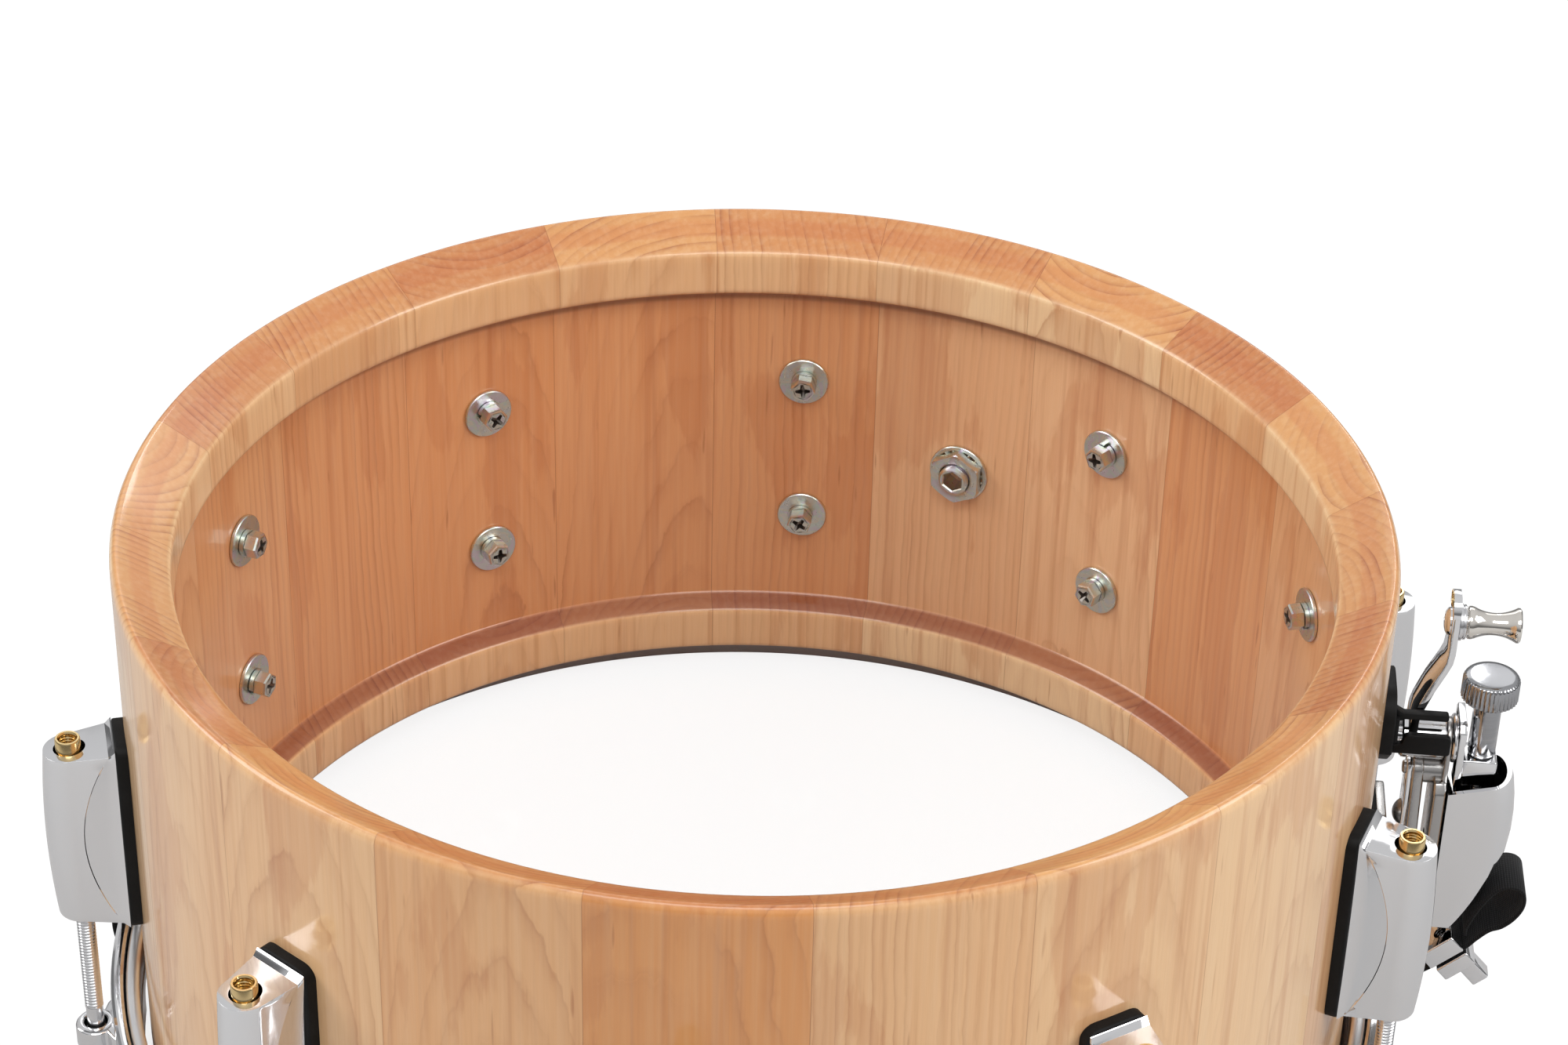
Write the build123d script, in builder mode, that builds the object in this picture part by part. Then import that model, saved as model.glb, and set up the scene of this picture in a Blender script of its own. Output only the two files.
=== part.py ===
from build123d import *
import os
from math import cos, radians, sin, sqrt

os.makedirs("parts", exist_ok=True)

# A 14 x 6.5 inch stave snare drum, millimetres. The origin is on the shell's axis, in the plane
# that the snare-side hoop rests on. +Z points up to the batter edge, +X to the strainer.

# ---- driving dimensions -------------------------------------------------------------------
SHELL_R = 176.2          # outer radius of the shell
SHELL_H = 165.1          # height of the shell, edge to edge
HEAD_Z = 8.0             # snare-side bearing edge above the resting plane
RING_R = 160.1           # inner radius of the thick rings left at both ends
WALL_R = 166.5           # inner radius of the thinned middle of the shell
EDGE_R = 174.4           # radius of the bearing edge's peak
BEVEL_DROP = 8.3         # how far the inner bevel falls from the peak to the ring
ROUND_DROP = 3.3         # how far the outer round-over falls
RING_H = 22.4            # peak to the ring's inner lower corner
RELIEF_H = 26.0          # peak to where the relief meets the thin wall
STAVES = 20
FIRST_JOINT = 10.0       # angle of one stave joint

LUGS = 10
FIRST_LUG = 18.0         # angle of the first lug
ROD_R = 191.6            # radius of the tension rods' circle
BOLT_PITCH = 50.8        # spacing of the two bolts that hold a lug
CLEAR = 0.3              # running gap between pieces that slide past each other
FIT = 0.05               # radial clearance of a pin in its bore

SHELL_TOP = HEAD_Z + SHELL_H
MID_Z = HEAD_Z + SHELL_H / 2
STAVE_ANGLE = 360 / STAVES
LUG_ANGLES = [FIRST_LUG + i * 360 / LUGS for i in range(LUGS)]
BOLT_HEIGHTS = [MID_Z - BOLT_PITCH / 2, MID_Z + BOLT_PITCH / 2]


def radial_plane(angle):
    """Plane through the drum's axis: local x is the radius, local y is the height."""
    a = radians(angle)
    return Plane(origin=(0, 0, 0), x_dir=(cos(a), sin(a), 0), z_dir=(sin(a), -cos(a), 0))


def outward_plane(angle, radius, height):
    """Plane square to a radius: local z points away from the axis, local y points up."""
    a = radians(angle)
    centre = (radius * cos(a), radius * sin(a), height)
    return Plane(origin=centre, x_dir=(-sin(a), cos(a), 0), z_dir=(cos(a), sin(a), 0))


def group(name, parts):
    """One node made of several separate solids."""
    solids = [solid for part in parts for solid in part.solids()]
    return Compound(label=name, children=solids)


# ---- shell --------------------------------------------------------------------------------
LUG_BOLT_R = 2.4
LUG_HOLE_R = LUG_BOLT_R + 0.2
VENT_ANGLE = 72.0
VENT_R = 5.0
VENT_HOLE_R = VENT_R + 0.2
STRAINER_ANGLE = 0.0
BUTT_ANGLE = 180.0
STRAINER_BOLT_HEIGHTS = [54.0, 80.0]
BUTT_BOLT_HEIGHTS = [46.0, 66.0]

SHELL_HOLES = [(angle, height, LUG_HOLE_R) for angle in LUG_ANGLES for height in BOLT_HEIGHTS]
SHELL_HOLES += [(STRAINER_ANGLE, height, LUG_HOLE_R) for height in STRAINER_BOLT_HEIGHTS]
SHELL_HOLES += [(BUTT_ANGLE, height, LUG_HOLE_R) for height in BUTT_BOLT_HEIGHTS]
SHELL_HOLES += [(VENT_ANGLE, MID_Z, VENT_HOLE_R)]


def stave_edge(end, side):
    """The bearing edge, ring and relief at one end: side is +1 at the batter end, -1 below."""
    Line((SHELL_R, MID_Z), (SHELL_R, end - side * ROUND_DROP))
    round_mid = (SHELL_R - 0.5, end - side * 0.85)
    ThreePointArc((SHELL_R, end - side * ROUND_DROP), round_mid, (EDGE_R, end))
    Polyline(
        (EDGE_R, end),
        (RING_R + 0.7, end - side * (BEVEL_DROP - 0.3)),
        (RING_R, end - side * (BEVEL_DROP + 0.7)),
        (RING_R, end - side * (RING_H - 0.6)),
        (RING_R + 0.5, end - side * RING_H),
        (WALL_R, end - side * RELIEF_H),
        (WALL_R, MID_Z),
    )


staves = []
for i in range(STAVES):
    start = FIRST_JOINT + i * STAVE_ANGLE
    with BuildPart() as stave:
        with BuildSketch(radial_plane(start)):
            with BuildLine():
                stave_edge(SHELL_TOP, 1)
                stave_edge(HEAD_Z, -1)
            make_face()
        revolve(axis=Axis.Z, revolution_arc=STAVE_ANGLE)
        for angle, height, radius in SHELL_HOLES:
            if 0 < (angle - start) % 360 < STAVE_ANGLE:
                with BuildSketch(outward_plane(angle, WALL_R - 5, height)):
                    Circle(radius)
                extrude(amount=SHELL_R - WALL_R + 10, mode=Mode.SUBTRACT)
    staves.append(stave.part)

stave_shell = group("stave_shell", staves)
export_step(stave_shell, "parts/stave_shell.step")

# ---- bolts, washers and vent inside the shell -----------------------------------------------
WASHER_R = 8.0
WASHER_T = 1.2
LOCK_R = 4.2
LOCK_T = 1.6
HEX_FLATS = 7.0
HEX_H = 4.0
PHILLIPS_W = 1.1
PHILLIPS_L = 3.6
BOLT_REACH = 184.0       # radius that the lug bolts' tips reach
SEAT_R = sqrt(WALL_R**2 - WASHER_R**2)   # where a flat washer meets the curved wall
LOCK_SEAT_R = SEAT_R - WASHER_T
HEAD_SEAT_R = LOCK_SEAT_R - LOCK_T

BOLT_PLACES = [(angle, height) for angle in LUG_ANGLES for height in BOLT_HEIGHTS]


def flat_washers(places):
    """Flat washers against the shell's inner wall."""
    for angle, height in places:
        with BuildSketch(outward_plane(angle, LOCK_SEAT_R, height)) as washer:
            Circle(WASHER_R)
            Circle(LUG_HOLE_R, mode=Mode.SUBTRACT)
        extrude(washer.sketch, amount=WASHER_T)


def bolts(places, reach):
    """Hex bolts with a cross recess, their heads inside the drum."""
    for angle, height in places:
        with BuildSketch(outward_plane(angle, HEAD_SEAT_R - HEX_H, height)) as head:
            RegularPolygon(HEX_FLATS / 2, 6, major_radius=False)
        extrude(head.sketch, amount=HEX_H)
        with BuildSketch(outward_plane(angle, HEAD_SEAT_R, height)) as shank:
            Circle(LUG_BOLT_R)
        extrude(shank.sketch, amount=reach - HEAD_SEAT_R)
        with BuildSketch(outward_plane(angle, HEAD_SEAT_R - HEX_H, height)) as cross:
            Rectangle(PHILLIPS_L, PHILLIPS_W)
            Rectangle(PHILLIPS_W, PHILLIPS_L)
        extrude(cross.sketch, amount=1.8, mode=Mode.SUBTRACT)


with BuildPart() as lug_flat_washers:
    flat_washers(BOLT_PLACES)
lug_flat_washers.part.label = "lug_flat_washers"
export_step(lug_flat_washers.part, "parts/lug_flat_washers.step")

# A split spring washer: a ring with a narrow slanted cut.
with BuildPart() as lug_lock_washers:
    for angle, height in BOLT_PLACES:
        with BuildSketch(outward_plane(angle, HEAD_SEAT_R, height)):
            Circle(LOCK_R)
            Circle(LUG_HOLE_R, mode=Mode.SUBTRACT)
            with Locations((LOCK_R - 0.8, 0)):
                Rectangle(LOCK_R, 0.4, mode=Mode.SUBTRACT)
        extrude(amount=LOCK_T)
lug_lock_washers.part.label = "lug_lock_washers"
export_step(lug_lock_washers.part, "parts/lug_lock_washers.step")

with BuildPart() as lug_bolts:
    bolts(BOLT_PLACES, BOLT_REACH)
lug_bolts.part.label = "lug_bolts"
export_step(lug_bolts.part, "parts/lug_bolts.step")

FITTING_REACH = 179.5
FITTING_PLACES = [(STRAINER_ANGLE, height) for height in STRAINER_BOLT_HEIGHTS]
FITTING_PLACES += [(BUTT_ANGLE, height) for height in BUTT_BOLT_HEIGHTS]

with BuildPart() as fitting_washers:
    flat_washers(FITTING_PLACES)
    for angle, height in FITTING_PLACES:
        with BuildSketch(outward_plane(angle, HEAD_SEAT_R, height)):
            Circle(LOCK_R)
            Circle(LUG_HOLE_R, mode=Mode.SUBTRACT)
        extrude(amount=LOCK_T)
fitting_washers.part.label = "fitting_washers"
export_step(fitting_washers.part, "parts/fitting_washers.step")

with BuildPart() as fitting_bolts:
    bolts(FITTING_PLACES, FITTING_REACH)
fitting_bolts.part.label = "fitting_bolts"
export_step(fitting_bolts.part, "parts/fitting_bolts.step")

VENT_FLANGE_R = 10.0
VENT_SOCKET_FLATS = 6.0
VENT_NUT_FLATS = 16.0
VENT_NUT_H = 4.2
TOOTH_R = 9.3
TOOTH_T = 0.8
VENT_INNER_END = 159.6
VENT_SEAT_R = sqrt(WALL_R**2 - TOOTH_R**2)

# The vent is a hollow stud: a round flange outside, a hexagonal bore inside.
with BuildPart() as vent_stud:
    with BuildSketch(outward_plane(VENT_ANGLE, VENT_INNER_END, MID_Z)):
        Circle(VENT_R)
    extrude(amount=SHELL_R - VENT_INNER_END)
    with BuildSketch(outward_plane(VENT_ANGLE, SHELL_R, MID_Z)):
        Circle(VENT_FLANGE_R)
    extrude(amount=1.6)
    with BuildSketch(outward_plane(VENT_ANGLE, VENT_INNER_END, MID_Z)):
        RegularPolygon(VENT_SOCKET_FLATS / 2, 6, major_radius=False)
    extrude(amount=40, mode=Mode.SUBTRACT)
vent_stud.part.label = "vent_stud"
export_step(vent_stud.part, "parts/vent_stud.step")

with BuildPart() as vent_tooth_washer:
    with BuildSketch(outward_plane(VENT_ANGLE, VENT_SEAT_R - TOOTH_T, MID_Z)):
        Circle(TOOTH_R - 1.4)
        with PolarLocations(TOOTH_R - 1.2, 16):
            Rectangle(2.4, 1.6)
        Circle(VENT_HOLE_R, mode=Mode.SUBTRACT)
    extrude(amount=TOOTH_T)
vent_tooth_washer.part.label = "vent_tooth_washer"
export_step(vent_tooth_washer.part, "parts/vent_tooth_washer.step")

with BuildPart() as vent_nut:
    with BuildSketch(outward_plane(VENT_ANGLE, VENT_SEAT_R - TOOTH_T - VENT_NUT_H, MID_Z)):
        RegularPolygon(VENT_NUT_FLATS / 2, 6, major_radius=False)
        Circle(VENT_R, mode=Mode.SUBTRACT)
    extrude(amount=VENT_NUT_H)
vent_nut.part.label = "vent_nut"
export_step(vent_nut.part, "parts/vent_nut.step")

# ---- lugs -----------------------------------------------------------------------------------
GASKET_W = 18.6
GASKET_H = 62.4
GASKET_FACE = 179.4      # radius of the gasket's flat outer face
STEP_T = 1.8             # thickness of the bevelled step at the casing's base
STEP_H = 60.4            # height of the casing where it meets the gasket
BODY_BASE_W = 17.2
BODY_TIP_R = 6.8
BODY_BASE_H = 57.2
BODY_ROD_H = 55.2        # height of the body at the rod's axis
BODY_TIP_H = 54.8
BODY_BULGE = 1.5
LENS_REACH = 189.6       # how far out the scooped sides reach at mid height
NUT_R = 3.5
NUT_BORE_R = 2.7         # over the crests of the rods' thread
NUT_OPEN_R = 2.45        # inside the crests of the open nuts' own thread
NUT_SHOULDER_R = 4.1
NUT_TOP = 31.05          # batter-side nut's top above mid height
NUT_BOTTOM = 28.6        # snare-side nut's end below mid height
ROD_THREAD_R = NUT_BORE_R - FIT

BODY_FACE = GASKET_FACE + STEP_T
TIP_X = ROD_R + BODY_TIP_R

with BuildPart() as gasket:
    with BuildSketch(outward_plane(0, SHELL_R - 3, MID_Z)):
        RectangleRounded(GASKET_W, GASKET_H, 4.0)
    extrude(amount=GASKET_FACE - SHELL_R + 3)
    Cylinder(SHELL_R, 200, align=(Align.CENTER, Align.CENTER, Align.MIN), mode=Mode.SUBTRACT)
    with Locations(*[outward_plane(0, SHELL_R - 5, height) for height in BOLT_HEIGHTS]):
        Cylinder(LUG_HOLE_R, 20, mode=Mode.SUBTRACT)

lug_gaskets = group("lug_gaskets", [gasket.part.rotate(Axis.Z, angle) for angle in LUG_ANGLES])
export_step(lug_gaskets, "parts/lug_gaskets.step")

with BuildPart() as lug:
    # side view: sloping top and bottom, outer wall slightly swollen
    with BuildSketch(Plane.XZ):
        with BuildLine():
            ThreePointArc(
                (TIP_X - 0.6, MID_Z - BODY_TIP_H / 2),
                (TIP_X + BODY_BULGE, MID_Z),
                (TIP_X - 0.6, MID_Z + BODY_TIP_H / 2),
            )
            Polyline(
                (TIP_X - 0.6, MID_Z + BODY_TIP_H / 2),
                (ROD_R, MID_Z + BODY_ROD_H / 2),
                (BODY_FACE, MID_Z + BODY_BASE_H / 2),
                (GASKET_FACE, MID_Z + STEP_H / 2),
                (GASKET_FACE, MID_Z - STEP_H / 2),
                (BODY_FACE, MID_Z - BODY_BASE_H / 2),
                (ROD_R, MID_Z - BODY_ROD_H / 2),
                (TIP_X - 0.6, MID_Z - BODY_TIP_H / 2),
            )
        make_face()
    extrude(amount=BODY_BASE_W, both=True)
    # plan view: flat sides closing slightly towards a round outer end
    with BuildSketch(Plane.XY):
        with BuildLine():
            ThreePointArc(
                (ROD_R, -BODY_TIP_R - 0.1),
                (TIP_X + BODY_BULGE, 0),
                (ROD_R, BODY_TIP_R + 0.1),
            )
            Polyline(
                (ROD_R, BODY_TIP_R + 0.1),
                (GASKET_FACE, BODY_BASE_W / 2),
                (GASKET_FACE, -BODY_BASE_W / 2),
                (ROD_R, -BODY_TIP_R - 0.1),
            )
        make_face()
    extrude(amount=200, mode=Mode.INTERSECT)
    # lens-shaped scoop on each side, from corner to corner of the base
    for side in (-1, 1):
        with BuildSketch(Plane.XZ.offset(-side * (BODY_TIP_R + 0.1 + 0.35))):
            with BuildLine():
                ThreePointArc(
                    (BODY_FACE, MID_Z - BODY_BASE_H / 2 + 1),
                    (LENS_REACH, MID_Z),
                    (BODY_FACE, MID_Z + BODY_BASE_H / 2 - 1),
                )
                Line(
                    (BODY_FACE, MID_Z + BODY_BASE_H / 2 - 1),
                    (BODY_FACE, MID_Z - BODY_BASE_H / 2 + 1),
                )
            make_face()
        extrude(amount=-side * 5, mode=Mode.SUBTRACT)
    # bore for the swivel nuts, and the holes for the bolts
    with BuildSketch(Plane.XY):
        with Locations((ROD_R, 0)):
            Circle(NUT_SHOULDER_R)
    extrude(amount=200, mode=Mode.SUBTRACT)
    with Locations(*[outward_plane(0, GASKET_FACE, height) for height in BOLT_HEIGHTS]):
        Cylinder(LUG_BOLT_R, 2 * (BOLT_REACH - GASKET_FACE), mode=Mode.SUBTRACT)

for i, angle in enumerate(LUG_ANGLES):
    lug_casing = lug.part.rotate(Axis.Z, angle)
    lug_casing.label = f"lug_casing_{i + 1:02d}"
    export_step(lug_casing, f"parts/lug_casing_{i + 1:02d}.step")

with BuildPart() as nut_pair:
    for low, high in ((6.0, NUT_TOP), (-NUT_BOTTOM, -6.0)):
        with BuildSketch(Plane.XY.offset(MID_Z + low)):
            with Locations((ROD_R, 0)):
                Circle(NUT_R)
        extrude(amount=high - low)
    for low in (6.0, -26.0):
        with BuildSketch(Plane.XY.offset(MID_Z + low)):
            with Locations((ROD_R, 0)):
                Circle(NUT_SHOULDER_R)
        extrude(amount=20)
    for low, radius in ((MID_Z, NUT_OPEN_R), (0, NUT_BORE_R)):
        with BuildSketch(Plane.XY.offset(low)):
            with Locations((ROD_R, 0)):
                Circle(radius)
        extrude(amount=MID_Z, mode=Mode.SUBTRACT)

swivel_nuts = group("swivel_nuts", [nut_pair.part.rotate(Axis.Z, a) for a in LUG_ANGLES])
export_step(swivel_nuts, "parts/swivel_nuts.step")

# ---- snare-side head, hoop and tension rods ---------------------------------------------------
FILM_T = 0.25
FILM_Z = HEAD_Z - 0.17
FLESH_IN = 178.6
FLESH_OUT = 182.6
FLESH_BOTTOM = 13.0
FLESH_H = 10.4
HOOP_IN = 178.4          # inner radius of the rim and shelf
HOOP_SKIRT_IN = 182.9
HOOP_OUT = 186.9
HOOP_H = 24.5
EAR_R = 5.8
EAR_BOTTOM = 13.5
EAR_TOP = 21.0
EAR_HOLE_R = 3.5
GATE_W = 60.0
GATE_H = 8.7

with BuildPart() as snare_head:
    with BuildSketch(Plane.XZ):
        with BuildLine():
            Polyline(
                (0, FILM_Z),
                (EDGE_R, FILM_Z),
                (SHELL_R - 0.5, FILM_Z + 0.4),
                (SHELL_R + 0.2, FILM_Z + 1.4),
                (SHELL_R + 0.45, FILM_Z + 3.6),
                (SHELL_R + 0.5, FILM_Z + 6.6),
                (SHELL_R + 1.0, FILM_Z + 7.9),
                (FLESH_IN - 0.35, FILM_Z + 8.6),
            )
        trace(line_width=FILM_T)
    revolve(axis=Axis.Z)
snare_head.part.label = "snare_head"
export_step(snare_head.part, "parts/snare_head.step")

with BuildPart() as flesh_hoop:
    with BuildSketch(Plane.XZ):
        with Locations(((FLESH_IN + FLESH_OUT) / 2, FLESH_BOTTOM + FLESH_H / 2)):
            RectangleRounded(FLESH_OUT - FLESH_IN, FLESH_H, 1.2)
    revolve(axis=Axis.Z)
flesh_hoop.part.label = "flesh_hoop"
export_step(flesh_hoop.part, "parts/flesh_hoop.step")

with BuildPart() as snare_side_hoop:
    with BuildSketch(Plane.XZ):
        Polygon(
            (HOOP_IN + 1, 0),
            (183.2, 0),
            (184.2, 1.0),
            (184.2, 4.0),
            (185.9, 12.4),
            (HOOP_OUT, 16.0),
            (HOOP_OUT, HOOP_H - 1.2),
            (HOOP_OUT - 1.2, HOOP_H),
            (HOOP_SKIRT_IN + 1, HOOP_H),
            (HOOP_SKIRT_IN, HOOP_H - 1),
            (HOOP_SKIRT_IN, FLESH_BOTTOM),
            (HOOP_IN, FLESH_BOTTOM),
            (HOOP_IN, 1),
            align=None,
        )
    revolve(axis=Axis.Z)
    # ears for the tension rods
    for angle in LUG_ANGLES:
        a = radians(angle)
        with BuildSketch(Plane((0, 0, EAR_BOTTOM), x_dir=(cos(a), sin(a), 0), z_dir=(0, 0, 1))):
            with Locations((ROD_R, 0)):
                Circle(EAR_R)
            Polygon((HOOP_OUT - 2, -11), (ROD_R, -EAR_R), (ROD_R, EAR_R), (HOOP_OUT - 2, 11),
                    align=None)
        extrude(amount=EAR_TOP - EAR_BOTTOM)
    with BuildSketch(Plane.XY.offset(EAR_BOTTOM - 1)):
        with PolarLocations(ROD_R, LUGS, start_angle=FIRST_LUG):
            Circle(EAR_HOLE_R)
    extrude(amount=EAR_TOP - EAR_BOTTOM + 2, mode=Mode.SUBTRACT)
    # gates where the straps pass under the head
    with Locations((0, 0, -1)):
        Box(2 * 200, GATE_W, GATE_H + 1, align=(Align.CENTER, Align.CENTER, Align.MIN),
            mode=Mode.SUBTRACT)
snare_side_hoop.part.label = "snare_side_hoop"
export_step(snare_side_hoop.part, "parts/snare_side_hoop.step")

ROD_WASHER_R = 5.2
ROD_WASHER_T = 1.2
ROD_SHANK_R = 2.45
ROD_COLLAR_R = 4.6
ROD_COLLAR_T = 1.6
ROD_SQUARE = 6.0
ROD_HEAD_H = 7.2
ROD_TOP = MID_Z - 10.0
COLLAR_TOP = EAR_BOTTOM - ROD_WASHER_T - FIT
SHANK_TOP = EAR_TOP + 6.0

with BuildPart() as rod_washers:
    with BuildSketch(Plane.XY.offset(EAR_BOTTOM - ROD_WASHER_T)):
        with PolarLocations(ROD_R, LUGS, start_angle=FIRST_LUG):
            Circle(ROD_WASHER_R)
            Circle(ROD_SHANK_R + 0.6, mode=Mode.SUBTRACT)
    extrude(amount=ROD_WASHER_T)
rod_washers.part.label = "rod_washers"
export_step(rod_washers.part, "parts/rod_washers.step")

with BuildPart() as rod:
    with BuildSketch(Plane.XY.offset(SHANK_TOP)):
        with Locations((ROD_R, 0)):
            Circle(ROD_THREAD_R)
    extrude(amount=ROD_TOP - SHANK_TOP)
    with BuildSketch(Plane.XY.offset(COLLAR_TOP)):
        with Locations((ROD_R, 0)):
            Circle(ROD_SHANK_R)
    extrude(amount=SHANK_TOP - COLLAR_TOP)
    with BuildSketch(Plane.XY.offset(COLLAR_TOP - ROD_COLLAR_T)):
        with Locations((ROD_R, 0)):
            Circle(ROD_COLLAR_R)
    extrude(amount=ROD_COLLAR_T)
    with BuildSketch(Plane.XY.offset(COLLAR_TOP - ROD_COLLAR_T - ROD_HEAD_H)):
        with Locations((ROD_R, 0)):
            RectangleRounded(ROD_SQUARE, ROD_SQUARE, 0.8)
    extrude(amount=ROD_HEAD_H)

for i, angle in enumerate(LUG_ANGLES):
    tension_rod = rod.part.rotate(Axis.Z, angle)
    tension_rod.label = f"tension_rod_{i + 1:02d}"
    export_step(tension_rod, f"parts/tension_rod_{i + 1:02d}.step")

# ---- snares under the head ------------------------------------------------------------------
WIRES = 20
WIRE_PITCH = 2.1
WIRE_R = 0.75
WIRE_Z = FILM_Z - FILM_T / 2 - 0.1 - WIRE_R
PLATE_IN = 146.0
PLATE_OUT = 162.0
PLATE_W = 43.0
PLATE_T = 1.0
PLATE_TOP = WIRE_Z - WIRE_R
STRAP_W = 17.0
STRAP_T = 0.9
STRAP_Z = PLATE_TOP - PLATE_T - STRAP_T / 2

with BuildPart() as snare_wires:
    with BuildSketch(Plane.YZ.offset(-PLATE_OUT + 4)):
        with GridLocations(WIRE_PITCH, 0.1, WIRES, 1):
            with Locations((0, WIRE_Z)):
                Circle(WIRE_R)
    extrude(amount=2 * (PLATE_OUT - 4))
snare_wires.part.label = "snare_wires"
export_step(snare_wires.part, "parts/snare_wires.step")

with BuildPart() as snare_end_plates:
    with BuildSketch(Plane.XY.offset(PLATE_TOP - PLATE_T)):
        for side in (-1, 1):
            with Locations((side * (PLATE_IN + PLATE_OUT) / 2, 0)):
                RectangleRounded(PLATE_OUT - PLATE_IN, PLATE_W, 2)
    extrude(amount=PLATE_T)
snare_end_plates.part.label = "snare_end_plates"
export_step(snare_end_plates.part, "parts/snare_end_plates.step")

# ---- strainer: fixed pieces -----------------------------------------------------------------
PIVOT_Z = 112.4          # height of the throw lever's radial pivot
BASE_FACE = 178.0        # outer face of the strainer's gasket
LEG_X = 186.8            # inner face of the frame's leg
LEG_T = 3.4
COLUMN_X = 193.0
COLUMN_FACE = 196.6
BOSS_R = 4.1
BOSS_Z = 101.3
EAR_X = 195.2
SHAFT_R = 2.2
GUIDE_HEIGHTS = [64.0, 78.0]
GUIDE_STUD_R = 2.0
GUIDE_HEAD_R = 3.2
RIVET_Z = 85.5
DOME_R = 4.38            # sphere radius of the rivet's domed head
DOME_H = 2.2
CARRIAGE_X = COLUMN_FACE + 0.4   # back of the sliding housing
CARRIAGE_WALL = 1.4

with BuildPart() as strainer_gasket:
    with BuildSketch(outward_plane(0, SHELL_R - 3, 67)):
        RectangleRounded(23, 47, 3)
    extrude(amount=BASE_FACE - SHELL_R + 3)
    Cylinder(SHELL_R, 200, align=(Align.CENTER, Align.CENTER, Align.MIN), mode=Mode.SUBTRACT)
    with Locations(*[outward_plane(0, SHELL_R, height) for height in STRAINER_BOLT_HEIGHTS]):
        Cylinder(LUG_HOLE_R, 20, mode=Mode.SUBTRACT)
strainer_gasket.part.label = "strainer_gasket"
export_step(strainer_gasket.part, "parts/strainer_gasket.step")

with BuildPart() as strainer_frame:
    with BuildSketch(outward_plane(0, BASE_FACE, 67)):
        RectangleRounded(21, 45, 3)
    extrude(amount=3)
    with Locations((BASE_FACE + 2.5, 0, 48)):
        Box(COLUMN_FACE - BASE_FACE - 2.5, 15, 12, align=(Align.MIN, Align.CENTER, Align.MIN))
    # inner leg, narrowing to the boss
    with BuildSketch(outward_plane(0, LEG_X, 0)):
        Polygon((-7, 50), (7, 50), (7, 84), (4, BOSS_Z), (-4, BOSS_Z), (-7, 84), align=None)
    extrude(amount=LEG_T)
    # outer column with the bearing ear on top
    with BuildSketch(outward_plane(0, COLUMN_X, 0)):
        with Locations((0, 74.5)):
            Rectangle(17, 53)
    extrude(amount=COLUMN_FACE - COLUMN_X)
    with BuildSketch(outward_plane(0, EAR_X, 0)):
        with Locations((0, PIVOT_Z)):
            Circle(6)
        with Locations((0, PIVOT_Z - 8)):
            Rectangle(12, 16)
    extrude(amount=COLUMN_FACE - EAR_X)
    with BuildSketch(outward_plane(0, LEG_X, BOSS_Z)):
        Circle(BOSS_R)
    extrude(amount=COLUMN_FACE - LEG_X)
    with Locations(outward_plane(0, EAR_X, PIVOT_Z)):
        Cylinder(SHAFT_R + FIT, 10, mode=Mode.SUBTRACT)
    with Locations(*[outward_plane(0, COLUMN_X, height) for height in GUIDE_HEIGHTS]):
        Cylinder(GUIDE_STUD_R, 12, mode=Mode.SUBTRACT)
    with Locations(*[outward_plane(0, BASE_FACE, height) for height in STRAINER_BOLT_HEIGHTS]):
        Cylinder(LUG_BOLT_R, 3, mode=Mode.SUBTRACT)
strainer_frame.part.label = "strainer_frame"
export_step(strainer_frame.part, "parts/strainer_frame.step")

with BuildPart() as detent_plate:
    with BuildSketch(outward_plane(0, LEG_X - 1.4, 0)):
        Polygon((-5, 80.5), (5, 80.5), (5, 92), (3.6, BOSS_Z + 3), (-3.6, BOSS_Z + 3), (-5, 92),
                align=None)
        with Locations((0, BOSS_Z)):
            Circle(1.9, mode=Mode.SUBTRACT)
    extrude(amount=1.4)
detent_plate.part.label = "detent_plate"
export_step(detent_plate.part, "parts/detent_plate.step")

# Domed rivet and pin head on the inner side, and the two studs that guide the housing.
with BuildPart() as frame_rivets:
    with Locations((LEG_X - 1.4 + DOME_R - DOME_H, 0, RIVET_Z)):
        Sphere(DOME_R)
    with Locations((LEG_X - 1.4, 0, RIVET_Z)):
        Box(12, 12, 12, align=(Align.MIN, Align.CENTER, Align.CENTER), mode=Mode.SUBTRACT)
    with BuildSketch(outward_plane(0, LEG_X - 2.4, BOSS_Z)):
        Circle(1.9)
    extrude(amount=2.4)
    for height in GUIDE_HEIGHTS:
        with BuildSketch(outward_plane(0, COLUMN_X, height)):
            Circle(GUIDE_STUD_R)
        extrude(amount=CARRIAGE_X + CARRIAGE_WALL + CLEAR - COLUMN_X)
        with BuildSketch(outward_plane(0, CARRIAGE_X + CARRIAGE_WALL + CLEAR, height)):
            Circle(GUIDE_HEAD_R)
        extrude(amount=1.2)
frame_rivets.part.label = "frame_rivets"
export_step(frame_rivets.part, "parts/frame_rivets.step")

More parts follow.
